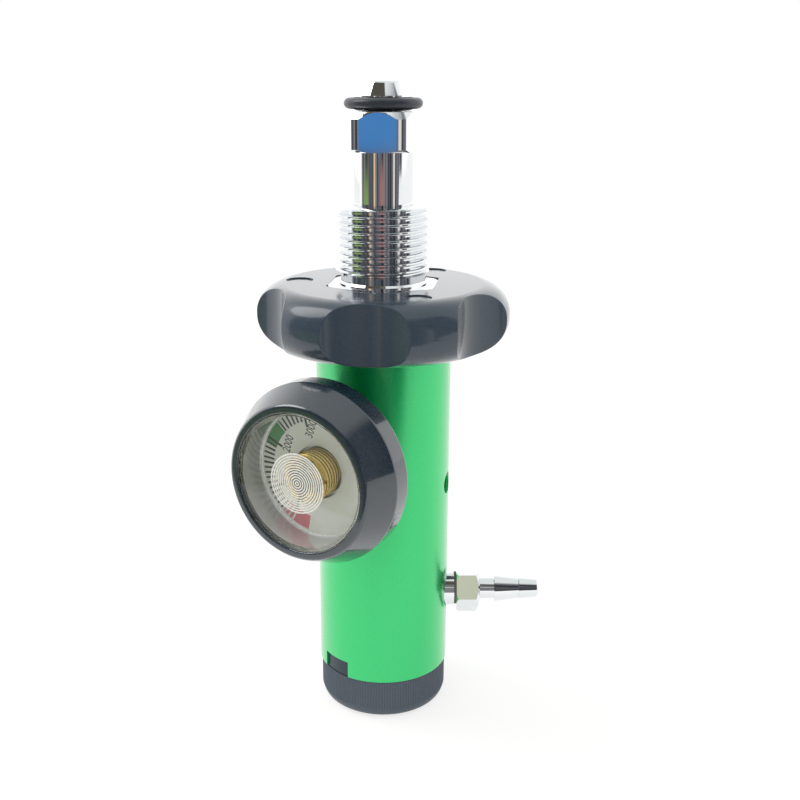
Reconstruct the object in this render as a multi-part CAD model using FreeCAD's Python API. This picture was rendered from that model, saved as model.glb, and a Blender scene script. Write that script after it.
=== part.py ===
import FreeCAD, Part
import math
import os

from FreeCAD import Vector

# Portable oxygen regulator for a cylinder valve with an internal thread.
# It stands on its flow knob. The origin is the centre of the knob's flat
# bottom face, +Z runs up the common axis to the inlet nose, and +X runs
# along the hose barb. All lengths are in millimetres, angles in degrees.

# Fits
PRESS_FIT = 0.01          # radial gap left between two pieces pressed together
RUNNING_FIT = 0.06        # radial gap of a turning or sliding fit
FACE_GAP = 0.3            # axial gap between faces that move past each other
SEAL_GAP = 0.02           # gap left between a seal and what slides on it
SEAL_SIDE_GAP = 0.05      # between a seal and the sides of its groove

# Flow knob, moulded black plastic
KNOB_INSET = 0.35         # from the sleeve in to the ribs
KNOB_FOOT_INSET = 2.5     # from the ribs in to the flat foot
KNOB_EDGE_ROUND = 2.6
KNOB_GRIP_HEIGHT = 10.3
KNOB_FLOOR = 2.8
KNOB_RIB_COUNT = 144
KNOB_RIB_DEPTH = 0.2
KNOB_HUB_RADIUS = 5.2
KNOB_HUB_HEIGHT = 12.2
SKIRT_WALL = 1.6          # number skirt that shows in the sleeve's window
SKIRT_SIDE_GAP = 0.25
KNOB_CAP_RADIUS = 6.6
KNOB_CAP_THICKNESS = 1.1
OVERCUT = 1.0             # how far a cutting or joining form runs past a face

# Outer sleeve, anodised aluminium tube
SLEEVE_RADIUS = 16.5
SLEEVE_WALL = 1.5
SLEEVE_BOTTOM = 10.65
SLEEVE_LENGTH = 82.4
WINDOW_HEIGHT = 4.15       # notch that is open to the lower edge
WINDOW_FROM = -62.5       # seen from above, from the viewing side, + to the right
WINDOW_TO = -33.2
VENT_RADIUS = 2.75
VENT_ANGLE = 75.0
VENT_DROP = 1.7           # below the spigot of the upper body
OUTLET_HOLE_RADIUS = 5.3
GAUGE_HOLE_RADIUS = 5.7

# Valve body, two turned pieces stacked inside the sleeve
SLEEVE_FIT = 0.05
BODY_FLANGE = 1.35         # rim that closes the top of the sleeve
SKIRT_CLEARANCE = 0.45     # between the knob's skirt and the body above it
WINDOW_COVER = 1.1        # skirt height past the top of the window
SPLIT_WALL = 0.45         # between the gauge port and the split of the body
SPIGOT_LENGTH = 4.0
PISTON_BORE_WALL = 3.45    # of the body round the piston
PISTON_BORE_FLOOR = 39.0
LOW_CHAMBER_RADIUS = 7.0
LOW_CHAMBER_DEPTH = 1.8
VALVE_CHAMBER_RADIUS = 4.6
VALVE_CHAMBER_DROP = 0.2  # below the split
VALVE_CHAMBER_HEIGHT = 2.6
BODY_SEAL_SECTION = 1.0
GAS_BORE_RADIUS = 1.4

# Selector, the turning orifice plate under the body
PLATE_CAVITY_LEDGE = 3.0   # that the bearing plate rests on
PLATE_CAVITY_TOP = 22.4
PLATE_SIDE_GAP = 0.5
PLATE_THICKNESS = 2.6
BEARING_PLATE_RIM = 1.35   # of the body round the bearing plate
BEARING_PLATE_THICKNESS = 2.7
ORIFICE_INSET = 3.0        # from the plate's edge in to the orifices
ORIFICE_POSITIONS = 12
ORIFICE_SMALL = 0.3
ORIFICE_STEP = 0.07
SHAFT_RADIUS = 2.75
SHAFT_BOTTOM = 3.2
SHAFT_TOP = 26.6
SHAFT_FLAT = 2.1          # distance of the drive flat from the axis
PLATE_SCREW_COUNT = 3
PLATE_SCREW_INSET = 1.5    # from the bearing plate's edge
PLATE_SCREW_ANGLE = 30.0
PLATE_SCREW_RADIUS = 0.75
PLATE_SCREW_LENGTH = 4.5
PLATE_SCREW_HEAD = 1.4
PLATE_SCREW_HEAD_HEIGHT = 0.7
DETENT_CIRCLE = 5.1
DETENT_BALL_RADIUS = 0.85
DETENT_ANGLE = 240.0
DETENT_DIMPLE_RADIUS = 0.65
DETENT_DIMPLE_DEPTH = 0.35
DETENT_POCKET_WALL = 0.4  # metal left under the spring
DETENT_SPRING_WIRE = 0.13
DETENT_SPRING_TURNS = 2.5
DETENT_SPRING_GAP = 0.1   # between the spring and its pocket
PORT_RADIUS = 1.2
PORT_SEAL_SECTION = 0.55
PORT_SEAL_RADIUS = 1.75
PORT_ANGLE = -90.0
SHAFT_SEAL_SECTION = 0.6
KNOB_SCREW_RADIUS = 1.5
KNOB_SCREW_LENGTH = 8.5
KNOB_SCREW_HEAD_RADIUS = 2.75
KNOB_SCREW_HEAD = 1.5
KNOB_SCREW_SOCKET = 2.5   # across flats
KNOB_SCREW_SOCKET_DEPTH = 1.0

# Piston, its spring, seat and nozzle
PISTON_HEAD = 6.2
PISTON_STEM_RADIUS = 3.1
PISTON_STROKE = 0.75
PISTON_RING_SECTION = 0.9
STEM_SEAL_SECTION = 0.8
SEAT_RADIUS = 2.0
SEAT_DEPTH = 1.1
STEM_REACH = 0.5          # of the stem into the valve chamber
STEM_BORE_RADIUS = 0.8
STEM_PORT_DROP = 2.3      # cross hole below the tip of the stem
NOZZLE_RADIUS = 3.1
NOZZLE_CROWN_RADIUS = 1.25
NOZZLE_CROWN_FLARE = 0.8
NOZZLE_CROWN = 0.6
NOZZLE_BORE_RADIUS = 0.55
NOZZLE_DEPTH = 1.6
SPRING_INSET = 3.2        # from the bore to the middle of the wire
SPRING_WIRE = 0.8         # radius of the wire
SPRING_PITCH = 3.2

# Inlet nipple, one chromed brass turning with a milled hexagon
NIPPLE_PLUG_RADIUS = 6.2
NIPPLE_PLUG_LENGTH = 11.0
NIPPLE_SHAFT_RADIUS = 6.95
NIPPLE_SHAFT_LENGTH = 46.15
NIPPLE_HEX_FLATS = 19.6
NIPPLE_HEX_CORNERS = 21.4
NIPPLE_HEX_LENGTH = 6.8
NIPPLE_HEX_ANGLE = -7.8
NIPPLE_CHAMFER = 0.6
NIPPLE_CONE_LENGTH = 2.05
NIPPLE_CONE_RADIUS = 8.15
NOSE_NECK_LENGTH = 3.45
NOSE_BASE_RADIUS = 6.8
NOSE_LENGTH = 3.1
NOSE_TIP_RADIUS = 5.2
NOSE_EDGE = 0.35
NOSE_RING_OUTER = 9.08
NOSE_RING_SECTION = 1.2
INLET_BORE_RADIUS = 2.6
INLET_BORE_DEPTH = 7.0
FILTER_LENGTH = 5.3
FILTER_RECESS = 0.45
FILTER_CHAMFER = 0.4
NIPPLE_SEAL_SECTION = 0.7

# Coupling nut and its handwheel
NUT_RADIUS = 11.47        # over the thread
NUT_THREAD_LENGTH = 16.0
NUT_COLLAR_LENGTH = 3.2
NUT_COLLAR_RADIUS = 10.2   # plain relief below the thread
NUT_COLLAR_LIP = 0.5
NUT_HEX_FLATS = 25.4
NUT_HEX_CORNERS = 28.7
NUT_HEX_HEIGHT = 13.0
NUT_FLANGE_RADIUS = 15.0
NUT_FLANGE_HEIGHT = 1.4
NUT_CHAMFER = 0.8
NUT_REST_GAP = 0.2
WASHER_RADIUS = 8.6
WASHER_THICKNESS = 1.1
WHEEL_HEIGHT = 14.8
WHEEL_RADIUS = 30.5
WHEEL_LOBES = 6
WHEEL_LOBE_ANGLE = 21.8
WHEEL_SCALLOP_DEPTH = 5.1
WHEEL_SCALLOP_SHARE = 0.643   # of the rim's length
WHEEL_EDGE_ROUND = 7.0
WHEEL_SCALLOP_EDGE = 0.3
WHEEL_GATE_RADIUS = 3.3
WHEEL_GATE_CIRCLE = 20.5
WHEEL_GATE_DEPTH = 0.3

# Outlet, a hose barb on its own seat, square to the axis
OUTLET_HEIGHT = 28.9
OUTLET_TAIL_RADIUS = 3.5
OUTLET_TAIL_LENGTH = 4.5
OUTLET_COLLAR_RADIUS = 4.5
OUTLET_COLLAR_PROUD = 1.75    # past the sleeve
OUTLET_WASHER_RADIUS = 4.15
OUTLET_WASHER_THICKNESS = 0.6
OUTLET_HEX_FLATS = 10.6
OUTLET_HEX_LENGTH = 6.0
OUTLET_HEX_CHAMFER = 1.0
OUTLET_HEX_ANGLE = 34.0   # turned so that a flat looks up to the front
OUTLET_SHANK_RADIUS = 2.9
OUTLET_SHANK_LENGTH = 3.9
BARB_LENGTHS = (6.45, 5.1)
BARB_BASE_RADII = (3.7, 3.0)
BARB_END_RADII = (2.75, 2.45)
BARB_LEAD = 0.45           # short lead-in at the tip
BARB_BORE_RADIUS = 1.5

# Pressure gauge, its case inside a rubber boot
GAUGE_TOP_GAP = 0.75      # from the boot up to the level of the sleeve's top
GAUGE_ANGLE = -29.7
GAUGE_FRONT = 39.0        # boot's front rim, from the regulator's axis
BOOT_FRONT_WALL = 1.45
BOOT_REAR_WALL = 4.65
BOOT_REAR_FROM_FRONT = 9.9
BOOT_LENGTH = 13.8
BOOT_REAR_ROUND = 3.0
BOOT_LIP = 0.75
BOOT_FRONT_CHAMFER = 0.6
BOOT_STEM_HOLE = 6.2
CASE_RADIUS = 16.8
CASE_WALL = 0.55
CASE_SIDE_GAP = 0.05      # round the lens and the dial
CASE_BACK_FROM_FRONT = 12.0
LENS_FRONT_DROP = 0.45     # front of the lens below the boot's rim
LENS_THICKNESS = 1.35
LENS_WALL = 0.9
LENS_RING_COUNT = 12
LENS_RING_PITCH = 0.585
LENS_RING_HEIGHT = 0.2
DIAL_DROP = 9.5
DIAL_THICKNESS = 0.4
DIAL_HOLE_RADIUS = 6.3
COIL_RADIUS = 5.05
COIL_STRIP = 0.65         # half width of the flattened tube
COIL_THICKNESS = 0.45
COIL_TURNS = 10
POINTER_HUB_RADIUS = 2.3
POINTER_HUB_LENGTH = 0.7
POINTER_LENS_GAP = 1.3
POINTER_LENGTH = 7.5
POINTER_TAIL = 4.0
POINTER_WIDTH = 0.8
POINTER_TIP_WIDTH = 0.3
POINTER_THICKNESS = 0.3
POINTER_ZERO = 194.0      # clockwise from the top, seen from the front
STEM_RADIUS = 4.8
STEM_DEPTH = 4.5          # thread length inside the body
STEM_FLATS = 10.0
STEM_BLOCK_GAP = 0.1      # between the stem's washer and the sleeve
STEM_BORE = 1.0
STEM_POST_RADIUS = 2.0
STEM_WASHER_THICKNESS = 0.7
STEM_WASHER_WIDTH = 1.2
STEM_POST_PROUD = 1.0     # past the back of the dial
STEM_BORE_PAST_CASE = 2.0

# Places worked out from the sizes above
KNOB_RADIUS = SLEEVE_RADIUS - KNOB_INSET
KNOB_FOOT_RADIUS = KNOB_RADIUS - KNOB_FOOT_INSET
SKIRT_TOP = SLEEVE_BOTTOM + WINDOW_HEIGHT + WINDOW_COVER
SLEEVE_BORE = SLEEVE_RADIUS - SLEEVE_WALL
SKIRT_RADIUS = SLEEVE_BORE - SKIRT_SIDE_GAP
BODY_RADIUS = SLEEVE_BORE - SLEEVE_FIT
BODY_BOTTOM = SKIRT_TOP + SKIRT_CLEARANCE
PISTON_BORE_RADIUS = BODY_RADIUS - PISTON_BORE_WALL
SPRING_RADIUS = PISTON_BORE_RADIUS - SPRING_INSET
BEARING_PLATE_RADIUS = BODY_RADIUS - BEARING_PLATE_RIM
PLATE_SCREW_CIRCLE = BEARING_PLATE_RADIUS - PLATE_SCREW_INSET
PLATE_CAVITY_RADIUS = BEARING_PLATE_RADIUS - PLATE_CAVITY_LEDGE
PLATE_RADIUS = PLATE_CAVITY_RADIUS - PLATE_SIDE_GAP
ORIFICE_CIRCLE = PLATE_RADIUS - ORIFICE_INSET
SLEEVE_TOP = SLEEVE_BOTTOM + SLEEVE_LENGTH
BODY_TOP = SLEEVE_TOP + BODY_FLANGE
BOOT_OPENING_RADIUS = CASE_RADIUS - CASE_WALL - CASE_SIDE_GAP
LENS_RADIUS = BOOT_OPENING_RADIUS
BOOT_FRONT_RADIUS = CASE_RADIUS + BOOT_FRONT_WALL
BOOT_REAR_RADIUS = CASE_RADIUS + BOOT_REAR_WALL
GAUGE_HEIGHT = SLEEVE_TOP - GAUGE_TOP_GAP - BOOT_REAR_RADIUS
BODY_SPLIT = GAUGE_HEIGHT - STEM_RADIUS - SPLIT_WALL
VALVE_CHAMBER_BOTTOM = BODY_SPLIT - VALVE_CHAMBER_DROP
VALVE_CHAMBER_TOP = VALVE_CHAMBER_BOTTOM + VALVE_CHAMBER_HEIGHT
STEM_TIP = VALVE_CHAMBER_BOTTOM + STEM_REACH
SPIGOT_BOTTOM = BODY_SPLIT - SPIGOT_LENGTH
VENT_HEIGHT = SPIGOT_BOTTOM - VENT_DROP
SPIGOT_RADIUS = PISTON_BORE_RADIUS - PRESS_FIT
PLATE_TOP = PLATE_CAVITY_TOP - FACE_GAP
PLATE_BOTTOM = PLATE_TOP - PLATE_THICKNESS
BEARING_TOP = BODY_BOTTOM + BEARING_PLATE_THICKNESS
PISTON_BOTTOM = PISTON_BORE_FLOOR + FACE_GAP
PISTON_TOP = PISTON_BOTTOM + PISTON_HEAD
NOZZLE_TIP = STEM_TIP + PISTON_STROKE + 0.05
NUT_BOTTOM = BODY_TOP + NUT_REST_GAP
NUT_HEX_BOTTOM = NUT_BOTTOM + NUT_FLANGE_HEIGHT
NUT_HEX_TOP = NUT_HEX_BOTTOM + NUT_HEX_HEIGHT
NUT_THREAD_BOTTOM = NUT_HEX_TOP + NUT_COLLAR_LENGTH
NUT_TOP = NUT_THREAD_BOTTOM + NUT_THREAD_LENGTH
WHEEL_BOTTOM = NUT_BOTTOM + FACE_GAP
NIPPLE_HEX_BOTTOM = BODY_TOP + NIPPLE_SHAFT_LENGTH
NIPPLE_HEX_TOP = NIPPLE_HEX_BOTTOM + NIPPLE_HEX_LENGTH
NIPPLE_CONE_TOP = NIPPLE_HEX_TOP + NIPPLE_CONE_LENGTH
NOSE_BASE = NIPPLE_CONE_TOP + NOSE_NECK_LENGTH
NOSE_TIP = NOSE_BASE + NOSE_LENGTH
NIPPLE_BOTTOM = BODY_TOP - NIPPLE_PLUG_LENGTH
NIPPLE_SEAT = NIPPLE_BOTTOM - 2 * NIPPLE_SEAL_SECTION
NUT_TRAVEL = NIPPLE_HEX_BOTTOM - NUT_TOP - FACE_GAP
BOOT_REAR = GAUGE_FRONT - BOOT_LENGTH
CASE_BACK = GAUGE_FRONT - CASE_BACK_FROM_FRONT
LENS_FRONT = GAUGE_FRONT - LENS_FRONT_DROP
LENS_BACK = LENS_FRONT - LENS_THICKNESS
DIAL_FRONT = GAUGE_FRONT - DIAL_DROP
DIAL_BACK = DIAL_FRONT - DIAL_THICKNESS
POINTER_BACK = LENS_BACK - POINTER_LENS_GAP - POINTER_HUB_LENGTH
COIL_BACK = CASE_BACK + CASE_WALL + SEAL_GAP
COIL_PITCH = (POINTER_BACK - SEAL_GAP - COIL_THICKNESS - COIL_BACK) / COIL_TURNS
STEM_BLOCK_FROM = SLEEVE_RADIUS + STEM_WASHER_THICKNESS + STEM_BLOCK_GAP
OUTLET_COLLAR_END = SLEEVE_RADIUS + OUTLET_COLLAR_PROUD
OUTLET_HEX_START = OUTLET_COLLAR_END + OUTLET_WASHER_THICKNESS

UP = Vector(0, 0, 1)
ARC_MIDDLE = 1 - math.sqrt(0.5)   # share of a quarter round at its middle
COIL_STEPS = 20           # straight lengths in a turn of a spring
parts = {}


def flat_point(radius, angle, height):
    """A point at an angle seen from above, 0 towards the viewer, + to the right."""
    turn = math.radians(angle)
    return Vector(radius * math.sin(turn), -radius * math.cos(turn), height)


def rod(radius, bottom, top):
    return Part.makeCylinder(radius, top - bottom, Vector(0, 0, bottom))


def tube(outer, inner, bottom, top):
    return rod(outer, bottom, top).cut(rod(inner, bottom, top))


def turned(profile):
    """A solid turned from (radius, height) points and (middle, end) arcs."""
    edges = []
    here = Vector(profile[0][0], 0, profile[0][1])
    first = here
    for step in profile[1:]:
        if isinstance(step[0], tuple):
            middle = Vector(step[0][0], 0, step[0][1])
            there = Vector(step[1][0], 0, step[1][1])
            edges.append(Part.Arc(here, middle, there).toShape())
        else:
            there = Vector(step[0], 0, step[1])
            edges.append(Part.LineSegment(here, there).toShape())
        here = there
    edges.append(Part.LineSegment(here, first).toShape())
    return Part.Face(Part.Wire(edges)).revolve(Vector(0, 0, 0), UP, 360)


def hexagon(across_flats, bottom, top, angle=0.0):
    """A hexagonal bar with one flat facing the given angle seen from above."""
    corner = across_flats / math.sqrt(3)
    points = [flat_point(corner, angle + 30 + 60 * turn, bottom) for turn in range(7)]
    return Part.Face(Part.makePolygon(points)).extrude(Vector(0, 0, top - bottom))


def ring_seal(radius, section, height):
    """A lathe-cut ring seal, square in section, about its middle radius and height."""
    return tube(radius + section, radius - section, height - section, height + section)


def seal_groove(radius, section, height):
    """The groove that holds a ring seal."""
    half = section + SEAL_SIDE_GAP
    return tube(radius + half, radius - half, height - half, height + half)


def wire_section(radius, wire, sides):
    """Section of round wire, drawn with flat sides, that stands at a radius."""
    points = []
    for side in range(sides + 1):
        turn = 2 * math.pi * (side + 0.5) / sides
        points.append(Vector(radius + wire * math.cos(turn), 0, wire * math.sin(turn)))
    return Part.makePolygon(points)


def coil(section, rise, turns):
    """Carries a section that stands on +X up a coil about +Z, in short straight lengths."""
    count = round(turns * COIL_STEPS)
    places = []
    for place in range(count + 1):
        ring = section.copy()
        ring.rotate(Vector(0, 0, 0), UP, 360.0 * turns * place / count)
        ring.translate(Vector(0, 0, rise * place / count))
        places.append(ring)
    return Part.makeLoft(places, True, True)


def moved(shape, place):
    """A copy of the shape, carried from where it is by a placement."""
    copy = shape.copy()
    copy.Placement = place.multiply(copy.Placement)
    return copy


def on_outlet(shape):
    """Moves a shape built along +Z from the axis onto the outlet."""
    turn = FreeCAD.Rotation(Vector(0, 0, -1), Vector(0, -1, 0), Vector(1, 0, 0), "ZXY")
    place = FreeCAD.Placement(Vector(0, 0, OUTLET_HEIGHT), turn)
    return moved(shape, place)


def on_gauge(shape):
    """Moves a shape built along +Z, with +Y up and +X right, onto the gauge's axis."""
    out = flat_point(1.0, GAUGE_ANGLE, 0)
    right = flat_point(1.0, GAUGE_ANGLE + 90, 0)
    place = FreeCAD.Placement(Vector(0, 0, GAUGE_HEIGHT),
                              FreeCAD.Rotation(right, UP, out, "ZXY"))
    return moved(shape, place)


def make_knob():
    """Cup with a ribbed grip over a rounded foot, a hub and the number skirt."""
    root = KNOB_RADIUS - KNOB_RIB_DEPTH
    points = []
    for rib in range(KNOB_RIB_COUNT):
        start = 360.0 * rib / KNOB_RIB_COUNT
        points.append(flat_point(KNOB_RADIUS, start, KNOB_EDGE_ROUND))
        points.append(flat_point(root, start + 180.0 / KNOB_RIB_COUNT, KNOB_EDGE_ROUND))
    points.append(points[0])
    grip = Part.Face(Part.makePolygon(points))
    grip = grip.extrude(Vector(0, 0, KNOB_GRIP_HEIGHT - KNOB_EDGE_ROUND))
    middle = (root - (root - KNOB_FOOT_RADIUS) * ARC_MIDDLE, KNOB_EDGE_ROUND * ARC_MIDDLE)
    foot = turned([(0, 0), (KNOB_FOOT_RADIUS, 0),
                   (middle, (root - PRESS_FIT, KNOB_EDGE_ROUND)), (0, KNOB_EDGE_ROUND)])
    knob = grip.fuse(foot)
    knob = knob.fuse(rod(SKIRT_RADIUS, KNOB_GRIP_HEIGHT - OVERCUT, SKIRT_TOP))
    hollow = tube(SKIRT_RADIUS - SKIRT_WALL, KNOB_HUB_RADIUS, KNOB_FLOOR, KNOB_HUB_HEIGHT)
    hollow = hollow.fuse(rod(SKIRT_RADIUS - SKIRT_WALL, KNOB_HUB_HEIGHT, SKIRT_TOP))
    knob = knob.cut(hollow)
    shaft_hole = drive_shaft(SHAFT_RADIUS + PRESS_FIT, SHAFT_BOTTOM, SKIRT_TOP, PRESS_FIT)
    head = rod(KNOB_SCREW_HEAD_RADIUS + PRESS_FIT, KNOB_CAP_THICKNESS,
               KNOB_CAP_THICKNESS + KNOB_SCREW_HEAD)
    stem = rod(KNOB_SCREW_RADIUS + PRESS_FIT, KNOB_CAP_THICKNESS, SHAFT_BOTTOM)
    cap_seat = rod(KNOB_CAP_RADIUS + PRESS_FIT, 0, KNOB_CAP_THICKNESS)
    knob = knob.cut(shaft_hole).cut(head).cut(stem).cut(cap_seat)
    parts["flow_knob"] = knob.removeSplitter()
    parts["knob_cap"] = rod(KNOB_CAP_RADIUS, 0, KNOB_CAP_THICKNESS)


def drive_shaft(radius, bottom, top, flat_gap):
    """A round shaft with one drive flat."""
    shaft = rod(radius, bottom, top)
    flat = SHAFT_FLAT + flat_gap
    waste = Part.makeBox(4 * radius, 4 * radius, top - bottom,
                         Vector(flat, -2 * radius, bottom))
    return shaft.cut(waste)


def make_selector():
    """Shaft, orifice plate, the screw that holds the knob, and the bearing plate."""
    flat_part = drive_shaft(SHAFT_RADIUS, SHAFT_BOTTOM, KNOB_HUB_HEIGHT, 0)
    shaft = flat_part.fuse(rod(SHAFT_RADIUS, KNOB_HUB_HEIGHT, SHAFT_TOP)).removeSplitter()
    screw_depth = KNOB_SCREW_LENGTH + PRESS_FIT
    shaft = shaft.cut(rod(KNOB_SCREW_RADIUS + PRESS_FIT, SHAFT_BOTTOM,
                          KNOB_CAP_THICKNESS + screw_depth))
    parts["selector_shaft"] = shaft
    head = rod(KNOB_SCREW_HEAD_RADIUS, KNOB_CAP_THICKNESS,
               KNOB_CAP_THICKNESS + KNOB_SCREW_HEAD)
    stem = rod(KNOB_SCREW_RADIUS, KNOB_CAP_THICKNESS, KNOB_CAP_THICKNESS + KNOB_SCREW_LENGTH)
    socket = hexagon(KNOB_SCREW_SOCKET, KNOB_CAP_THICKNESS,
                     KNOB_CAP_THICKNESS + KNOB_SCREW_SOCKET_DEPTH)
    parts["knob_screw"] = head.fuse(stem).cut(socket)

    plate = tube(PLATE_RADIUS, SHAFT_RADIUS + PRESS_FIT, PLATE_BOTTOM, PLATE_TOP)
    for place in range(ORIFICE_POSITIONS):
        angle = PORT_ANGLE + 360.0 * place / ORIFICE_POSITIONS
        dimple = flat_point(DETENT_CIRCLE, DETENT_ANGLE + angle - PORT_ANGLE, PLATE_BOTTOM)
        plate = plate.cut(Part.makeCone(DETENT_DIMPLE_RADIUS, 0, DETENT_DIMPLE_DEPTH, dimple))
        if place > 0:
            radius = ORIFICE_SMALL + ORIFICE_STEP * place
            foot = flat_point(ORIFICE_CIRCLE, angle, PLATE_BOTTOM)
            plate = plate.cut(Part.makeCylinder(radius, PLATE_THICKNESS, foot))
    parts["orifice_plate"] = plate


def make_bearing_plate():
    """Cover that carries the shaft, its seal, the detent and three screws."""
    plate = tube(BEARING_PLATE_RADIUS - PRESS_FIT, SHAFT_RADIUS + RUNNING_FIT,
                 BODY_BOTTOM, BEARING_TOP)
    seal_radius = SHAFT_RADIUS + SEAL_GAP + SHAFT_SEAL_SECTION
    seal_height = (BODY_BOTTOM + BEARING_TOP) / 2
    plate = plate.cut(seal_groove(seal_radius, SHAFT_SEAL_SECTION, seal_height))
    parts["shaft_seal"] = ring_seal(seal_radius, SHAFT_SEAL_SECTION, seal_height)

    ball_top = PLATE_BOTTOM - SEAL_GAP
    ball_centre = flat_point(DETENT_CIRCLE, DETENT_ANGLE, ball_top - DETENT_BALL_RADIUS)
    pocket_floor = BODY_BOTTOM + DETENT_POCKET_WALL
    pocket_foot = flat_point(DETENT_CIRCLE, DETENT_ANGLE, pocket_floor)
    pocket = Part.makeCylinder(DETENT_BALL_RADIUS + RUNNING_FIT, BEARING_TOP - pocket_floor,
                               pocket_foot)
    plate = plate.cut(pocket)
    parts["detent_ball"] = Part.makeSphere(DETENT_BALL_RADIUS, ball_centre)
    wire = DETENT_SPRING_WIRE
    spring_radius = DETENT_BALL_RADIUS - wire - DETENT_SPRING_GAP
    ball_seat = ball_centre.z - math.sqrt(DETENT_BALL_RADIUS ** 2 - spring_radius ** 2)
    rise = ball_seat - pocket_floor - 3 * wire
    spring = coil(wire_section(spring_radius, wire, 6), rise, DETENT_SPRING_TURNS)
    spring.translate(pocket_foot + Vector(0, 0, wire + SEAL_GAP))
    parts["detent_spring"] = spring

    screws = []
    for place in range(PLATE_SCREW_COUNT):
        angle = PLATE_SCREW_ANGLE + 360.0 * place / PLATE_SCREW_COUNT
        foot = flat_point(PLATE_SCREW_CIRCLE, angle, BODY_BOTTOM)
        stem = Part.makeCylinder(PLATE_SCREW_RADIUS, PLATE_SCREW_LENGTH, foot)
        head = Part.makeCone(PLATE_SCREW_HEAD, PLATE_SCREW_RADIUS, PLATE_SCREW_HEAD_HEIGHT, foot)
        hole = Part.makeCylinder(PLATE_SCREW_RADIUS + PRESS_FIT, PLATE_SCREW_LENGTH, foot)
        sink = Part.makeCone(PLATE_SCREW_HEAD + PRESS_FIT, PLATE_SCREW_RADIUS + PRESS_FIT,
                             PLATE_SCREW_HEAD_HEIGHT, foot)
        plate = plate.cut(hole).cut(sink)
        screws.append(stem.fuse(head).removeSplitter())
    parts["plate_screws"] = Part.makeCompound(screws)
    parts["bearing_plate"] = plate


def screw_holes():
    """The threaded holes in the body for the bearing plate's screws."""
    holes = []
    for place in range(PLATE_SCREW_COUNT):
        angle = PLATE_SCREW_ANGLE + 360.0 * place / PLATE_SCREW_COUNT
        foot = flat_point(PLATE_SCREW_CIRCLE, angle, BODY_BOTTOM)
        holes.append(Part.makeCylinder(PLATE_SCREW_RADIUS + PRESS_FIT,
                                       PLATE_SCREW_LENGTH + FACE_GAP, foot))
    return holes


def make_lower_body():
    """Piston cylinder above, orifice cavity below, outlet to the side."""
    body = rod(BODY_RADIUS, BODY_BOTTOM, BODY_SPLIT)
    body = body.cut(rod(PISTON_BORE_RADIUS, PISTON_BORE_FLOOR, BODY_SPLIT))
    body = body.cut(rod(LOW_CHAMBER_RADIUS, PISTON_BORE_FLOOR - LOW_CHAMBER_DEPTH,
                        PISTON_BORE_FLOOR))
    body = body.cut(rod(BEARING_PLATE_RADIUS, BODY_BOTTOM, BEARING_TOP))
    body = body.cut(rod(PLATE_CAVITY_RADIUS, BEARING_TOP, PLATE_CAVITY_TOP))
    body = body.cut(rod(SHAFT_RADIUS + RUNNING_FIT, PLATE_CAVITY_TOP, SHAFT_TOP + FACE_GAP))
    port_foot = flat_point(ORIFICE_CIRCLE, PORT_ANGLE, PLATE_CAVITY_TOP)
    port = Part.makeCylinder(PORT_RADIUS, PISTON_BORE_FLOOR - PLATE_CAVITY_TOP, port_foot)
    seal_height = PLATE_CAVITY_TOP - FACE_GAP + SEAL_GAP + PORT_SEAL_SECTION
    seal_centre = Vector(port_foot.x, port_foot.y, seal_height)
    seal = ring_seal(PORT_SEAL_RADIUS, PORT_SEAL_SECTION, 0)
    seal.translate(seal_centre)
    groove_depth = seal_height + PORT_SEAL_SECTION - PLATE_CAVITY_TOP
    groove = Part.makeCylinder(PORT_SEAL_RADIUS + PORT_SEAL_SECTION + SEAL_SIDE_GAP, groove_depth,
                               port_foot)
    body = body.cut(port).cut(groove)
    parts["port_seal"] = seal
    tail = OUTLET_TAIL_LENGTH
    seat = on_outlet(rod(OUTLET_TAIL_RADIUS + PRESS_FIT, BODY_RADIUS - tail,
                         BODY_RADIUS + OVERCUT))
    drill = on_outlet(rod(BARB_BORE_RADIUS, ORIFICE_CIRCLE - PORT_RADIUS - OVERCUT,
                          BODY_RADIUS))
    riser = Part.makeCylinder(PORT_RADIUS, OUTLET_HEIGHT - PLATE_CAVITY_TOP,
                              Vector(ORIFICE_CIRCLE, 0, PLATE_CAVITY_TOP))
    body = body.cut(seat).cut(drill).cut(riser)
    vent_foot = flat_point(PISTON_BORE_RADIUS - OVERCUT, VENT_ANGLE, VENT_HEIGHT)
    vent = Part.makeCylinder(VENT_RADIUS / 2, BODY_RADIUS, vent_foot,
                             flat_point(1, VENT_ANGLE, 0))
    body = body.cut(vent)
    for hole in screw_holes():
        body = body.cut(hole)
    parts["lower_body"] = body


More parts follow.
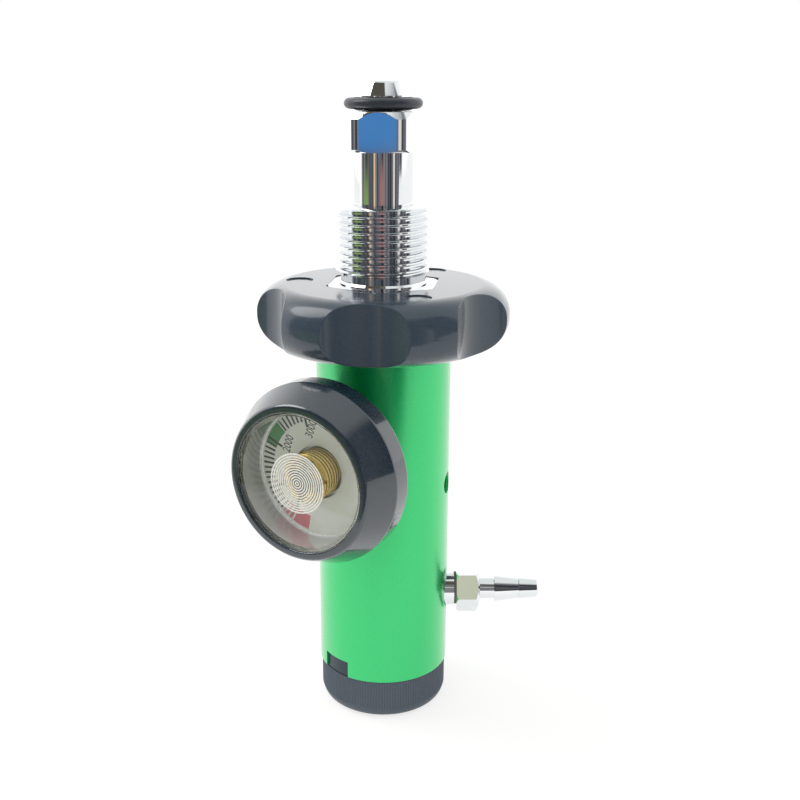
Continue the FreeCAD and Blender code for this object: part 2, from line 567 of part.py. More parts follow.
def make_upper_body():
    """Gas passages, gauge port and the seat of the nipple, with the sleeve's rim."""
    body = rod(BODY_RADIUS, BODY_SPLIT, SLEEVE_TOP)
    body = body.fuse(rod(SLEEVE_RADIUS, SLEEVE_TOP, BODY_TOP))
    body = body.fuse(rod(SPIGOT_RADIUS, SPIGOT_BOTTOM, BODY_SPLIT)).removeSplitter()
    body = body.cut(rod(PISTON_STEM_RADIUS + RUNNING_FIT, SPIGOT_BOTTOM, VALVE_CHAMBER_BOTTOM))
    body = body.cut(rod(VALVE_CHAMBER_RADIUS, VALVE_CHAMBER_BOTTOM, VALVE_CHAMBER_TOP))
    nozzle_top = VALVE_CHAMBER_TOP + NOZZLE_DEPTH
    body = body.cut(rod(NOZZLE_RADIUS + PRESS_FIT, VALVE_CHAMBER_TOP, nozzle_top))
    body = body.cut(rod(GAS_BORE_RADIUS, nozzle_top, NIPPLE_SEAT))
    body = body.cut(rod(NIPPLE_PLUG_RADIUS + PRESS_FIT, NIPPLE_SEAT, BODY_TOP))
    stem_seal_height = (SPIGOT_BOTTOM + VALVE_CHAMBER_BOTTOM) / 2
    stem_seal_radius = PISTON_STEM_RADIUS + SEAL_GAP + STEM_SEAL_SECTION
    body = body.cut(seal_groove(stem_seal_radius, STEM_SEAL_SECTION, stem_seal_height))
    parts["stem_seal"] = ring_seal(stem_seal_radius, STEM_SEAL_SECTION, stem_seal_height)
    joint_height = (SPIGOT_BOTTOM + BODY_SPLIT) / 2
    joint_radius = PISTON_BORE_RADIUS - BODY_SEAL_SECTION - SEAL_GAP
    body = body.cut(seal_groove(joint_radius, BODY_SEAL_SECTION, joint_height))
    parts["body_seal"] = ring_seal(joint_radius, BODY_SEAL_SECTION, joint_height)
    port = on_gauge(rod(STEM_RADIUS + PRESS_FIT, BODY_RADIUS - STEM_DEPTH,
                        BODY_RADIUS + OVERCUT))
    drill = on_gauge(rod(STEM_BORE, 0, BODY_RADIUS))
    body = body.cut(port).cut(drill)
    parts["upper_body"] = body

    crown = Part.makeCone(NOZZLE_CROWN_RADIUS, NOZZLE_CROWN_RADIUS + NOZZLE_CROWN_FLARE, NOZZLE_CROWN,
                          Vector(0, 0, NOZZLE_TIP))
    nozzle = rod(NOZZLE_RADIUS, NOZZLE_TIP + NOZZLE_CROWN, nozzle_top).fuse(crown)
    nozzle = nozzle.cut(rod(NOZZLE_BORE_RADIUS, NOZZLE_TIP, nozzle_top))
    parts["seat_nozzle"] = nozzle


def make_piston():
    """Differential piston with a drilled stem, soft seat, seal and spring."""
    head = rod(PISTON_BORE_RADIUS - RUNNING_FIT, PISTON_BOTTOM, PISTON_TOP)
    piston = head.fuse(rod(PISTON_STEM_RADIUS, PISTON_TOP, STEM_TIP))
    seat_bottom = STEM_TIP - SEAT_DEPTH
    piston = piston.cut(rod(SEAT_RADIUS + PRESS_FIT, seat_bottom, STEM_TIP))
    port_height = STEM_TIP - STEM_PORT_DROP
    piston = piston.cut(rod(STEM_BORE_RADIUS, PISTON_BOTTOM, port_height))
    cross = Part.makeCylinder(STEM_BORE_RADIUS / 2, 4 * PISTON_STEM_RADIUS,
                              Vector(-2 * PISTON_STEM_RADIUS, 0,
                                     port_height - STEM_BORE_RADIUS / 2),
                              Vector(1, 0, 0))
    piston = piston.cut(cross)
    ring_height = (PISTON_BOTTOM + PISTON_TOP) / 2
    ring_radius = PISTON_BORE_RADIUS - SEAL_GAP - PISTON_RING_SECTION
    piston = piston.cut(seal_groove(ring_radius, PISTON_RING_SECTION, ring_height))
    parts["piston"] = piston
    parts["piston_seal"] = ring_seal(ring_radius, PISTON_RING_SECTION, ring_height)
    parts["valve_seat"] = rod(SEAT_RADIUS, seat_bottom, STEM_TIP)

    rise = SPIGOT_BOTTOM - PISTON_TOP - 2 * SPRING_WIRE - 2 * SEAL_GAP
    spring = coil(wire_section(SPRING_RADIUS, SPRING_WIRE, 8), rise, rise / SPRING_PITCH)
    spring.translate(Vector(0, 0, PISTON_TOP + SPRING_WIRE + SEAL_GAP))
    parts["piston_spring"] = spring


def make_sleeve():
    """Tube with its number window, vent, outlet and gauge holes."""
    sleeve = tube(SLEEVE_RADIUS, SLEEVE_BORE, SLEEVE_BOTTOM, SLEEVE_TOP)
    reach = 2 * SLEEVE_RADIUS
    window_top = SLEEVE_BOTTOM + WINDOW_HEIGHT
    corners = [Vector(0, 0, SLEEVE_BOTTOM - 1), flat_point(reach, WINDOW_FROM, SLEEVE_BOTTOM - 1),
               flat_point(reach, WINDOW_TO, SLEEVE_BOTTOM - 1)]
    wedge = Part.Face(Part.makePolygon(corners + [corners[0]]))
    sleeve = sleeve.cut(wedge.extrude(Vector(0, 0, window_top - SLEEVE_BOTTOM + 1)))
    vent = Part.makeCylinder(VENT_RADIUS, reach, Vector(0, 0, VENT_HEIGHT),
                             flat_point(1, VENT_ANGLE, 0))
    sleeve = sleeve.cut(vent)
    sleeve = sleeve.cut(on_outlet(rod(OUTLET_HOLE_RADIUS, 0, reach)))
    sleeve = sleeve.cut(on_gauge(rod(GAUGE_HOLE_RADIUS, 0, reach)))
    parts["outer_sleeve"] = sleeve


def make_nipple():
    """Plug, long shaft, milled hexagon, ring groove and coned nose in one turning."""
    bar = NIPPLE_HEX_CORNERS / 2
    ring_radius = NOSE_RING_OUTER - NOSE_RING_SECTION
    groove = ring_radius - NOSE_RING_SECTION
    ring_height = (NIPPLE_CONE_TOP + NOSE_BASE) / 2
    outline = [(0, NIPPLE_BOTTOM), (NIPPLE_PLUG_RADIUS, NIPPLE_BOTTOM),
               (NIPPLE_PLUG_RADIUS, BODY_TOP), (NIPPLE_SHAFT_RADIUS, BODY_TOP),
               (NIPPLE_SHAFT_RADIUS, NIPPLE_HEX_BOTTOM),
               (bar - NIPPLE_CHAMFER, NIPPLE_HEX_BOTTOM),
               (bar, NIPPLE_HEX_BOTTOM + NIPPLE_CHAMFER), (bar, NIPPLE_HEX_TOP),
               (NIPPLE_CONE_RADIUS, NIPPLE_CONE_TOP), (NOSE_BASE_RADIUS, NIPPLE_CONE_TOP),
               (NOSE_BASE_RADIUS, ring_height - NOSE_RING_SECTION),
               (groove, ring_height - NOSE_RING_SECTION),
               (groove, ring_height + NOSE_RING_SECTION),
               (NOSE_BASE_RADIUS, ring_height + NOSE_RING_SECTION),
               (NOSE_BASE_RADIUS, NOSE_BASE),
               (NOSE_TIP_RADIUS, NOSE_TIP - NOSE_EDGE),
               (NOSE_TIP_RADIUS - NOSE_EDGE, NOSE_TIP), (0, NOSE_TIP)]
    body = turned(outline)
    around = tube(2 * bar, NIPPLE_SHAFT_RADIUS, NIPPLE_HEX_BOTTOM, NIPPLE_CONE_TOP)
    flats = hexagon(NIPPLE_HEX_FLATS, NIPPLE_HEX_BOTTOM, NIPPLE_CONE_TOP, NIPPLE_HEX_ANGLE)
    body = body.cut(around.cut(flats))
    body = body.cut(rod(INLET_BORE_RADIUS, NOSE_TIP - INLET_BORE_DEPTH, NOSE_TIP))
    body = body.cut(rod(GAS_BORE_RADIUS, NIPPLE_BOTTOM, NOSE_TIP - INLET_BORE_DEPTH))
    parts["inlet_nipple"] = body
    parts["nose_seal"] = Part.makeTorus(ring_radius, NOSE_RING_SECTION,
                                        Vector(0, 0, ring_height))
    filter_top = NOSE_TIP - FILTER_RECESS
    core = turned([(0, filter_top - FILTER_LENGTH),
                   (INLET_BORE_RADIUS - PRESS_FIT, filter_top - FILTER_LENGTH),
                   (INLET_BORE_RADIUS - PRESS_FIT, filter_top - FILTER_CHAMFER),
                   (INLET_BORE_RADIUS - FILTER_CHAMFER, filter_top), (0, filter_top)])
    parts["inlet_filter"] = core
    seal_radius = NIPPLE_PLUG_RADIUS - 2 * NIPPLE_SEAL_SECTION
    parts["nipple_seal"] = ring_seal(seal_radius, NIPPLE_SEAL_SECTION,
                                     NIPPLE_SEAT + NIPPLE_SEAL_SECTION)


def make_nut():
    """Threaded nut that turns and slides on the nipple's shaft."""
    lead_in = NUT_RADIUS - NUT_COLLAR_RADIUS
    lip = NUT_COLLAR_RADIUS + NUT_COLLAR_LIP
    outline = [(0, NUT_BOTTOM), (NUT_FLANGE_RADIUS, NUT_BOTTOM),
               (NUT_FLANGE_RADIUS, NUT_HEX_BOTTOM), (NUT_HEX_CORNERS / 2, NUT_HEX_BOTTOM),
               (NUT_HEX_CORNERS / 2, NUT_HEX_TOP - NUT_CHAMFER),
               (NUT_HEX_CORNERS / 2 - NUT_CHAMFER, NUT_HEX_TOP), (lip, NUT_HEX_TOP),
               (lip, NUT_HEX_TOP + NUT_COLLAR_LIP),
               (NUT_COLLAR_RADIUS, NUT_HEX_TOP + 2 * NUT_COLLAR_LIP),
               (NUT_COLLAR_RADIUS, NUT_THREAD_BOTTOM),
               (NUT_RADIUS, NUT_THREAD_BOTTOM + lead_in / 2),
               (NUT_RADIUS, NUT_TOP - NUT_CHAMFER), (NUT_RADIUS - NUT_CHAMFER, NUT_TOP),
               (0, NUT_TOP)]
    nut = turned(outline)
    around = tube(2 * NUT_FLANGE_RADIUS, NUT_RADIUS, NUT_HEX_BOTTOM, NUT_HEX_TOP)
    flats = hexagon(NUT_HEX_FLATS, NUT_HEX_BOTTOM, NUT_HEX_TOP, WHEEL_LOBE_ANGLE)
    nut = nut.cut(around.cut(flats))
    nut = nut.cut(rod(NIPPLE_SHAFT_RADIUS + RUNNING_FIT, NUT_BOTTOM, NUT_TOP))
    nut = nut.cut(rod(WASHER_RADIUS + RUNNING_FIT, NUT_TOP - WASHER_THICKNESS, NUT_TOP))
    parts["coupling_nut"] = nut
    washer = tube(WASHER_RADIUS, NIPPLE_SHAFT_RADIUS + RUNNING_FIT,
                  NUT_TOP - WASHER_THICKNESS + SEAL_GAP, NUT_TOP)
    parts["thrust_washer"] = washer


def make_handwheel():
    """Round-rimmed disc with hollow finger grips, pressed over the nut's hexagon."""
    top = WHEEL_BOTTOM + WHEEL_HEIGHT
    flat_radius = WHEEL_RADIUS - WHEEL_EDGE_ROUND
    inset = WHEEL_EDGE_ROUND * ARC_MIDDLE
    wheel = turned([(0, WHEEL_BOTTOM), (flat_radius, WHEEL_BOTTOM),
                    ((WHEEL_RADIUS - inset, WHEEL_BOTTOM + inset),
                     (WHEEL_RADIUS, WHEEL_BOTTOM + WHEEL_EDGE_ROUND)),
                    (WHEEL_RADIUS, top - WHEEL_EDGE_ROUND),
                    ((WHEEL_RADIUS - inset, top - inset), (flat_radius, top)),
                    (0, top)])
    pitch = 360.0 / WHEEL_LOBES
    waist = WHEEL_RADIUS - WHEEL_SCALLOP_DEPTH
    reach = WHEEL_RADIUS * math.cos(math.radians(WHEEL_SCALLOP_SHARE * pitch / 2))
    scallop = (WHEEL_RADIUS ** 2 + waist ** 2 - 2 * waist * reach) / (2 * (reach - waist))
    for lobe in range(WHEEL_LOBES):
        middle = flat_point(waist + scallop, WHEEL_LOBE_ANGLE + pitch * (lobe + 0.5),
                            WHEEL_BOTTOM - OVERCUT)
        wheel = wheel.cut(Part.makeCylinder(scallop, WHEEL_HEIGHT + 2 * OVERCUT, middle))
    rims = []
    for face in wheel.Faces:
        if isinstance(face.Surface, Part.Cylinder) and abs(face.Surface.Radius - scallop) < 0.001:
            rims.extend(face.Edges)
    wheel = wheel.makeFillet(WHEEL_SCALLOP_EDGE, rims)
    opening = hexagon(NUT_HEX_FLATS + 2 * PRESS_FIT, WHEEL_BOTTOM, WHEEL_BOTTOM + WHEEL_HEIGHT,
                      WHEEL_LOBE_ANGLE)
    wheel = wheel.cut(opening)
    seat = rod(NUT_FLANGE_RADIUS + FACE_GAP, WHEEL_BOTTOM, NUT_HEX_BOTTOM)
    wheel = wheel.cut(seat)
    for lobe in range(0, WHEEL_LOBES, 2):
        foot = flat_point(WHEEL_GATE_CIRCLE, WHEEL_LOBE_ANGLE + pitch * lobe,
                          top - WHEEL_GATE_DEPTH)
        mark = Part.makeCylinder(WHEEL_GATE_RADIUS, WHEEL_GATE_DEPTH, foot)
        wheel = wheel.cut(mark)
    parts["handwheel"] = wheel


def make_outlet():
    """Seat collar, sealing washer and the one-piece hose barb."""
    collar = tube(OUTLET_COLLAR_RADIUS, OUTLET_TAIL_RADIUS + PRESS_FIT, BODY_RADIUS,
                  OUTLET_COLLAR_END)
    collar = on_outlet(collar).cut(rod(BODY_RADIUS, OUTLET_HEIGHT - OUTLET_COLLAR_RADIUS,
                                       OUTLET_HEIGHT + OUTLET_COLLAR_RADIUS))
    parts["outlet_collar"] = collar
    washer = tube(OUTLET_WASHER_RADIUS, OUTLET_TAIL_RADIUS + PRESS_FIT, OUTLET_COLLAR_END,
                  OUTLET_HEX_START)
    parts["outlet_washer"] = on_outlet(washer)
    hex_end = OUTLET_HEX_START + OUTLET_HEX_LENGTH
    corner = OUTLET_HEX_FLATS / math.sqrt(3)
    profile = [(0, BODY_RADIUS - OUTLET_TAIL_LENGTH),
               (OUTLET_TAIL_RADIUS, BODY_RADIUS - OUTLET_TAIL_LENGTH),
               (OUTLET_TAIL_RADIUS, OUTLET_HEX_START),
               (corner - 0.5 * OUTLET_HEX_CHAMFER, OUTLET_HEX_START),
               (corner, OUTLET_HEX_START + 0.5 * OUTLET_HEX_CHAMFER),
               (corner, hex_end - OUTLET_HEX_CHAMFER),
               (corner - 1.4 * OUTLET_HEX_CHAMFER, hex_end),
               (OUTLET_SHANK_RADIUS, hex_end),
               (OUTLET_SHANK_RADIUS, hex_end + OUTLET_SHANK_LENGTH)]
    place = hex_end + OUTLET_SHANK_LENGTH
    for length, base, end in zip(BARB_LENGTHS, BARB_BASE_RADII, BARB_END_RADII):
        profile.append((base, place))
        place = place + length
        profile.append((end, place))
    tip = profile.pop()
    profile.append((tip[0], place - BARB_LEAD))
    profile.append((tip[0] - BARB_LEAD, place))
    profile.append((0, place))
    barb = turned(profile)
    around = tube(2 * corner, OUTLET_WASHER_RADIUS, OUTLET_HEX_START, hex_end)
    flats = hexagon(OUTLET_HEX_FLATS, OUTLET_HEX_START, hex_end, OUTLET_HEX_ANGLE)
    barb = barb.cut(around.cut(flats))
    barb = barb.cut(rod(BARB_BORE_RADIUS, BODY_RADIUS - OUTLET_TAIL_LENGTH, place))
    parts["outlet_barb"] = on_outlet(barb)


def make_gauge():
    """Boot, case, stem, coiled tube, dial, pointer and lens on one axis."""
    rear = GAUGE_FRONT - BOOT_REAR_FROM_FRONT
    round_mid = BOOT_REAR_ROUND * ARC_MIDDLE
    boot = turned([(BOOT_OPENING_RADIUS, GAUGE_FRONT),
                   (BOOT_FRONT_RADIUS - BOOT_FRONT_CHAMFER, GAUGE_FRONT),
                   (BOOT_FRONT_RADIUS, GAUGE_FRONT - BOOT_FRONT_CHAMFER),
                   (BOOT_REAR_RADIUS, rear),
                   ((BOOT_REAR_RADIUS - round_mid, BOOT_REAR + round_mid),
                    (BOOT_REAR_RADIUS - BOOT_REAR_ROUND, BOOT_REAR)),
                   (BOOT_STEM_HOLE, BOOT_REAR), (BOOT_STEM_HOLE, CASE_BACK),
                   (CASE_RADIUS + PRESS_FIT, CASE_BACK),
                   (CASE_RADIUS + PRESS_FIT, GAUGE_FRONT - BOOT_LIP),
                   (BOOT_OPENING_RADIUS, GAUGE_FRONT - BOOT_LIP)])
    parts["gauge_boot"] = on_gauge(boot)

    case_front = GAUGE_FRONT - BOOT_LIP
    case = rod(CASE_RADIUS, CASE_BACK, case_front)
    case = case.cut(rod(CASE_RADIUS - CASE_WALL, CASE_BACK + CASE_WALL, case_front))
    case = case.cut(rod(STEM_POST_RADIUS + PRESS_FIT, CASE_BACK, CASE_BACK + CASE_WALL))
    parts["gauge_case"] = on_gauge(case)

    post_end = DIAL_BACK + STEM_POST_PROUD
    stem = rod(STEM_RADIUS, BODY_RADIUS - STEM_DEPTH, STEM_BLOCK_FROM)
    stem = stem.fuse(hexagon(STEM_FLATS, STEM_BLOCK_FROM, CASE_BACK))
    stem = stem.fuse(rod(STEM_POST_RADIUS, CASE_BACK, post_end))
    stem = stem.cut(rod(STEM_BORE, BODY_RADIUS - STEM_DEPTH, CASE_BACK + STEM_BORE_PAST_CASE))
    parts["gauge_stem"] = on_gauge(stem)
    parts["gauge_washer"] = on_gauge(tube(STEM_RADIUS + STEM_WASHER_WIDTH, STEM_RADIUS + PRESS_FIT,
                                          STEM_BLOCK_FROM - STEM_WASHER_THICKNESS,
                                          STEM_BLOCK_FROM))

    half = COIL_THICKNESS / 2
    inner = COIL_RADIUS - COIL_STRIP
    outer = COIL_RADIUS + COIL_STRIP
    strip = Part.makePolygon([Vector(inner, 0, -half), Vector(outer, 0, -half),
                              Vector(outer, 0, half), Vector(inner, 0, half),
                              Vector(inner, 0, -half)])
    spiral = coil(strip, COIL_PITCH * COIL_TURNS, COIL_TURNS)
    spiral.translate(Vector(0, 0, COIL_BACK + half))
    parts["bourdon_coil"] = on_gauge(spiral)

    parts["gauge_dial"] = on_gauge(tube(LENS_RADIUS, DIAL_HOLE_RADIUS, DIAL_BACK, DIAL_FRONT))

    lens = rod(LENS_RADIUS, LENS_BACK, LENS_FRONT)
    lens = lens.fuse(tube(LENS_RADIUS, LENS_RADIUS - LENS_WALL, DIAL_FRONT, LENS_BACK))
    for ring in range(1, LENS_RING_COUNT + 1):
        outer = ring * LENS_RING_PITCH
        ridge = turned([(outer - 0.5 * LENS_RING_PITCH, LENS_FRONT), (outer, LENS_FRONT),
                        (outer - 0.25 * LENS_RING_PITCH, LENS_FRONT + LENS_RING_HEIGHT)])
        lens = lens.fuse(ridge)
    parts["gauge_lens"] = on_gauge(lens)

    hub = rod(POINTER_HUB_RADIUS, POINTER_BACK, POINTER_BACK + POINTER_HUB_LENGTH)
    root = POINTER_WIDTH / 2
    tip = POINTER_TIP_WIDTH / 2
    needle = [Vector(-root, -POINTER_TAIL, 0), Vector(root, -POINTER_TAIL, 0),
              Vector(tip, POINTER_LENGTH, 0), Vector(-tip, POINTER_LENGTH, 0)]
    blade = Part.Face(Part.makePolygon(needle + [needle[0]]))
    blade = blade.extrude(Vector(0, 0, POINTER_THICKNESS))
    blade.rotate(Vector(0, 0, 0), UP, -POINTER_ZERO)
    blade.translate(Vector(0, 0, POINTER_BACK
                           + (POINTER_HUB_LENGTH - POINTER_THICKNESS) / 2))
    parts["gauge_pointer"] = on_gauge(hub.fuse(blade))


def report_sizes():
    """Prints each solid's size and any joint value that the sizes set."""
    for name in sorted(parts):
        shape = parts[name]
        box = shape.BoundBox
        print(f"{name:16s} solids {len(shape.Solids)} volume {shape.Volume:9.1f}"
              f" z {box.ZMin:7.2f} to {box.ZMax:7.2f} valid {shape.isValid()}")
    print(f"nut travel {NUT_TRAVEL:.2f} piston stroke {PISTON_STROKE:.2f}")


make_knob()
make_selector()
make_bearing_plate()
make_lower_body()
make_upper_body()
make_piston()
make_sleeve()
make_nipple()
make_nut()
make_handwheel()
make_outlet()
make_gauge()

os.makedirs("parts", exist_ok=True)
for name, shape in parts.items():
    shape.exportStep(os.path.join("parts", name + ".step"))
report_sizes()
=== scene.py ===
import math

import bmesh
import bpy
from mathutils import Matrix, Vector


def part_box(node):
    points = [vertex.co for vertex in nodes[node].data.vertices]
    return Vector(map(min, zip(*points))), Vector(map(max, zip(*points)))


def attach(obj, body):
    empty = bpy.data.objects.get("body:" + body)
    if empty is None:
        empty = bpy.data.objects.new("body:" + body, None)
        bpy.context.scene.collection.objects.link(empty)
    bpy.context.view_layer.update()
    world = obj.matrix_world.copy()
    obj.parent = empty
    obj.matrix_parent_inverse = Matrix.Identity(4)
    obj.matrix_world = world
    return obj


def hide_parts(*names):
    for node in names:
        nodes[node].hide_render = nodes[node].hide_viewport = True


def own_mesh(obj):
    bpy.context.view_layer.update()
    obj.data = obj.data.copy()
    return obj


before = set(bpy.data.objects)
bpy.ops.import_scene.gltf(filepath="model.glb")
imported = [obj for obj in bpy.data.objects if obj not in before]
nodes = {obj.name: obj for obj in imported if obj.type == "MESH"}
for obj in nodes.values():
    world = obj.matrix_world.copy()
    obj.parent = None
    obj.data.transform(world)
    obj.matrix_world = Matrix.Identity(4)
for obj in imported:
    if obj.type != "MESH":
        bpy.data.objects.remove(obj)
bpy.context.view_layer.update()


# Camera
# A hand-held picture from a little above, about a forearm's length away, with the object
# left of the middle. The lens is given for a 36 mm wide sensor.
MM = 0.001
CAMERA_HEIGHT = 157.3 * MM
CAMERA_DISTANCE = 256.5 * MM
CAMERA_NEAREST = 0.01
CAMERA_PITCH = math.radians(16.753)
CAMERA_SENSOR = 36
CAMERA_LENS = 48.6
OBJECT_LEFT_OF_MIDDLE = 16.6 / 800

camera = bpy.data.objects.new("camera", bpy.data.cameras.new("camera"))
bpy.context.scene.collection.objects.link(camera)
camera.location = (0, -CAMERA_DISTANCE, CAMERA_HEIGHT)
camera.rotation_euler = (math.pi / 2 - CAMERA_PITCH, 0, 0)
camera.data.sensor_width = CAMERA_SENSOR
camera.data.lens = CAMERA_LENS
camera.data.shift_x = OBJECT_LEFT_OF_MIDDLE
camera.data.clip_start = CAMERA_NEAREST
bpy.context.scene.camera = camera
bpy.context.scene.view_settings.view_transform = "Standard"


# Studio
# A sheet of white paper that ends a little in front of the object, white walls at the back and
# sides, and a dim room behind the camera. Only gloss sees the room, as dark bands in the chrome.
def colour(text):
    """Linear colour of an sRGB hex value."""
    parts = [int(text[place:place + 2], 16) / 255 for place in (1, 3, 5)]
    return [part / 12.92 if part <= 0.04045 else ((part + 0.055) / 1.055) ** 2.4
            for part in parts] + [1.0]


def add(tree, kind, inputs=None, **settings):
    """Adds a node. Its inputs are values, or outputs of other nodes that it is linked to."""
    node = tree.nodes.new(kind)
    for name, value in settings.items():
        setattr(node, name, value)
    for socket, value in (inputs or {}).items():
        if isinstance(value, bpy.types.NodeSocket):
            tree.links.new(value, node.inputs[socket])
        else:
            node.inputs[socket].default_value = value
    return node


def between(tree, value, start, end, soft):
    """Is 1 where a value lies between two others, with soft ends."""
    share = 1.0
    for low, high in ((start - soft, start + soft), (end + soft, end - soft)):
        ramp = add(tree, "ShaderNodeMapRange", {"Value": value, "From Min": low,
                                                "From Max": high},
                   interpolation_type="SMOOTHSTEP")
        share = add(tree, "ShaderNodeMath", {0: share, 1: ramp.outputs["Result"]},
                    operation="MULTIPLY").outputs[0]
    return share


ROOM_WHITE = (1.0, 1.0, 1.0, 1.0)
ROOM_LIGHT = 0.92
ROOM_SIDES = (1.25, 1.25, 1.25, 1.0)
DIM_SHADE = colour("#24282E")
DIM_WALL = colour("#8A898E")
STREAKS = 7.0
STREAK_DETAIL = 2.0
STREAK_LOW = 0.36
STREAK_HIGH = 0.68

world = bpy.data.worlds.new("white_room")
bpy.context.scene.world = world
world.use_nodes = True
world.cycles.sampling_method = "NONE"
tree = world.node_tree
tree.nodes.clear()
path = add(tree, "ShaderNodeLightPath").outputs
place = add(tree, "ShaderNodeTexCoord")
axes = add(tree, "ShaderNodeSeparateXYZ", {0: place.outputs["Generated"]}).outputs
ahead = add(tree, "ShaderNodeMath", {0: axes["Y"], 1: -1.0}, operation="MULTIPLY")
around = add(tree, "ShaderNodeMath", {0: axes["X"], 1: ahead.outputs[0]},
             operation="ARCTAN2").outputs[0]
rise = axes["Z"]
streaks = add(tree, "ShaderNodeTexNoise", {"W": around, "Scale": STREAKS,
                                           "Detail": STREAK_DETAIL}, noise_dimensions="1D")
streak = add(tree, "ShaderNodeMapRange", {"Value": streaks.outputs["Fac"],
                                          "From Min": STREAK_LOW, "From Max": STREAK_HIGH},
             interpolation_type="SMOOTHSTEP")
wall = add(tree, "ShaderNodeMix", {0: streak.outputs["Result"], 6: DIM_SHADE, 7: DIM_WALL},
           data_type="RGBA").outputs[2]
# What the gloss sees in the room: each thing's colour, the angles between which it stands and
# how soft its sides are, and the heights between which it reaches and how soft those edges are.
# Angles are in degrees from behind the camera to the right, and heights are the sine of the
# angle above the horizon. Later things cover earlier ones.
room_things = {
    "pale_ceiling": (colour("#EDF0EF"), (-200, 200, 1), (0.7, 2, 0.2)),
    "dim_wall": (wall, (-92, 76, 4), (-2, 0.82, 0.08)),
    "blue_window": (colour("#4A86C4"), (-21, -10.5, 0.6), (-0.0672, -0.012, 0.0015)),
    "olive_card": (colour("#CDD0B8"), (2.5, 7.5, 0.6), (0.385, 0.465, 0.008)),
    "warm_lamp": (colour("#F3CFA0"), (-37, -32, 1.5), (-0.3, 0.2, 0.1)),
    "green_plant": (colour("#86A062"), (-84, -60, 4), (-0.6, -0.09, 0.02)),
    "pale_door": (colour("#E6E2DC"), (38, 45, 1), (-0.5, 0.3, 0.1)),
    "rose_curtain": (colour("#A27A76"), (-14, 4, 5), (-0.3, -0.08, 0.015)),
    "olive_beam": (colour("#55524A"), (-74, 10, 2), (0.7, 0.93, 0.02)),
}
room = ROOM_SIDES
for shade, sides, edges in room_things.values():
    across = between(tree, around, *(math.radians(side) for side in sides))
    seen = add(tree, "ShaderNodeMath", {0: across, 1: between(tree, rise, *edges)},
               operation="MULTIPLY")
    room = add(tree, "ShaderNodeMix", {0: seen.outputs[0], 6: room, 7: shade},
               data_type="RGBA").outputs[2]
gloss = add(tree, "ShaderNodeBackground", {"Color": room, "Strength": 1.0})
light = add(tree, "ShaderNodeBackground", {"Color": ROOM_WHITE, "Strength": ROOM_LIGHT})
backdrop = add(tree, "ShaderNodeBackground", {"Color": ROOM_WHITE, "Strength": 1.0})
seen_in_gloss = add(tree, "ShaderNodeMixShader", {"Fac": path["Is Glossy Ray"],
                                                  1: light.outputs[0], 2: gloss.outputs[0]})
straight = add(tree, "ShaderNodeMath", {0: path["Is Camera Ray"],
                                        1: path["Is Transmission Ray"]}, operation="MAXIMUM")
whole = add(tree, "ShaderNodeMixShader", {"Fac": straight.outputs[0],
                                          1: seen_in_gloss.outputs[0], 2: backdrop.outputs[0]})
add(tree, "ShaderNodeOutputWorld", {"Surface": whole.outputs[0]})

FLOOR_HALF = 1.5
FLOOR_FRONT = -0.17
FLOOR_TURN = -21
FLOOR_GAP = 0.02
floor_mesh = bmesh.new()
bmesh.ops.create_grid(floor_mesh, x_segments=1, y_segments=1, size=FLOOR_HALF)
bmesh.ops.translate(floor_mesh, verts=floor_mesh.verts,
                    vec=(0, FLOOR_FRONT + FLOOR_HALF, -FLOOR_GAP * MM))
bmesh.ops.rotate(floor_mesh, verts=floor_mesh.verts, cent=(0, FLOOR_FRONT, 0),
                 matrix=Matrix.Rotation(math.radians(FLOOR_TURN), 3, "Z"))
floor = bpy.data.objects.new("floor", bpy.data.meshes.new("floor"))
floor_mesh.to_mesh(floor.data)
floor_mesh.free()
bpy.context.scene.collection.objects.link(floor)
# Uncoated white paper. Straight and mirrored views see it a little brighter than it is lit,
# so that it melts into the white behind, and it keeps a soft shadow.
PAPER = colour("#F6F5F2")
PAPER_GLOW = 1.16
PAPER_GLOW_SHARE = 0.62
sheet = bpy.data.materials.new("white_paper_sheet")
sheet.use_nodes = True
tree = sheet.node_tree
tree.nodes.clear()
path = add(tree, "ShaderNodeLightPath").outputs
paper = add(tree, "ShaderNodeBsdfDiffuse", {"Color": PAPER})
glow = add(tree, "ShaderNodeEmission", {"Color": ROOM_WHITE, "Strength": PAPER_GLOW})
straight = add(tree, "ShaderNodeMath", {0: path["Is Camera Ray"], 1: path["Is Glossy Ray"]},
               operation="MAXIMUM")
share = add(tree, "ShaderNodeMath", {0: straight.outputs[0], 1: PAPER_GLOW_SHARE},
            operation="MULTIPLY")
mixed = add(tree, "ShaderNodeMixShader", {"Fac": share.outputs[0], 1: paper.outputs[0],
                                          2: glow.outputs[0]})
add(tree, "ShaderNodeOutputMaterial", {"Surface": mixed.outputs[0]})
floor.data.materials.append(sheet)

LAMP_WIDTH = 0.5
LAMP_WATTS = 2.2
LAMP_PLACE = (-0.53, 0.06, 0.7)
LAMP_AIM = (0, 0, 0.08)
lamp = bpy.data.lights.new("soft_box", "AREA")
lamp.shape = "DISK"
lamp.size = LAMP_WIDTH
lamp.energy = LAMP_WATTS
soft_box = bpy.data.objects.new("soft_box", lamp)
soft_box.location = LAMP_PLACE
soft_box.rotation_euler = (Vector(LAMP_AIM) - soft_box.location).to_track_quat("-Z", "Y").to_euler()
bpy.context.scene.collection.objects.link(soft_box)


# Flow knob
# A cup of black moulded plastic with fine ribs, turned by hand to choose the flow. Its skirt
# goes up inside the sleeve and shows in the window.
NOISE_DETAIL = 3.0
NOISE_ROUGHNESS = 0.55
NOISE_LOW = 0.3
NOISE_HIGH = 0.7
BUMP_STRENGTH = 0.6


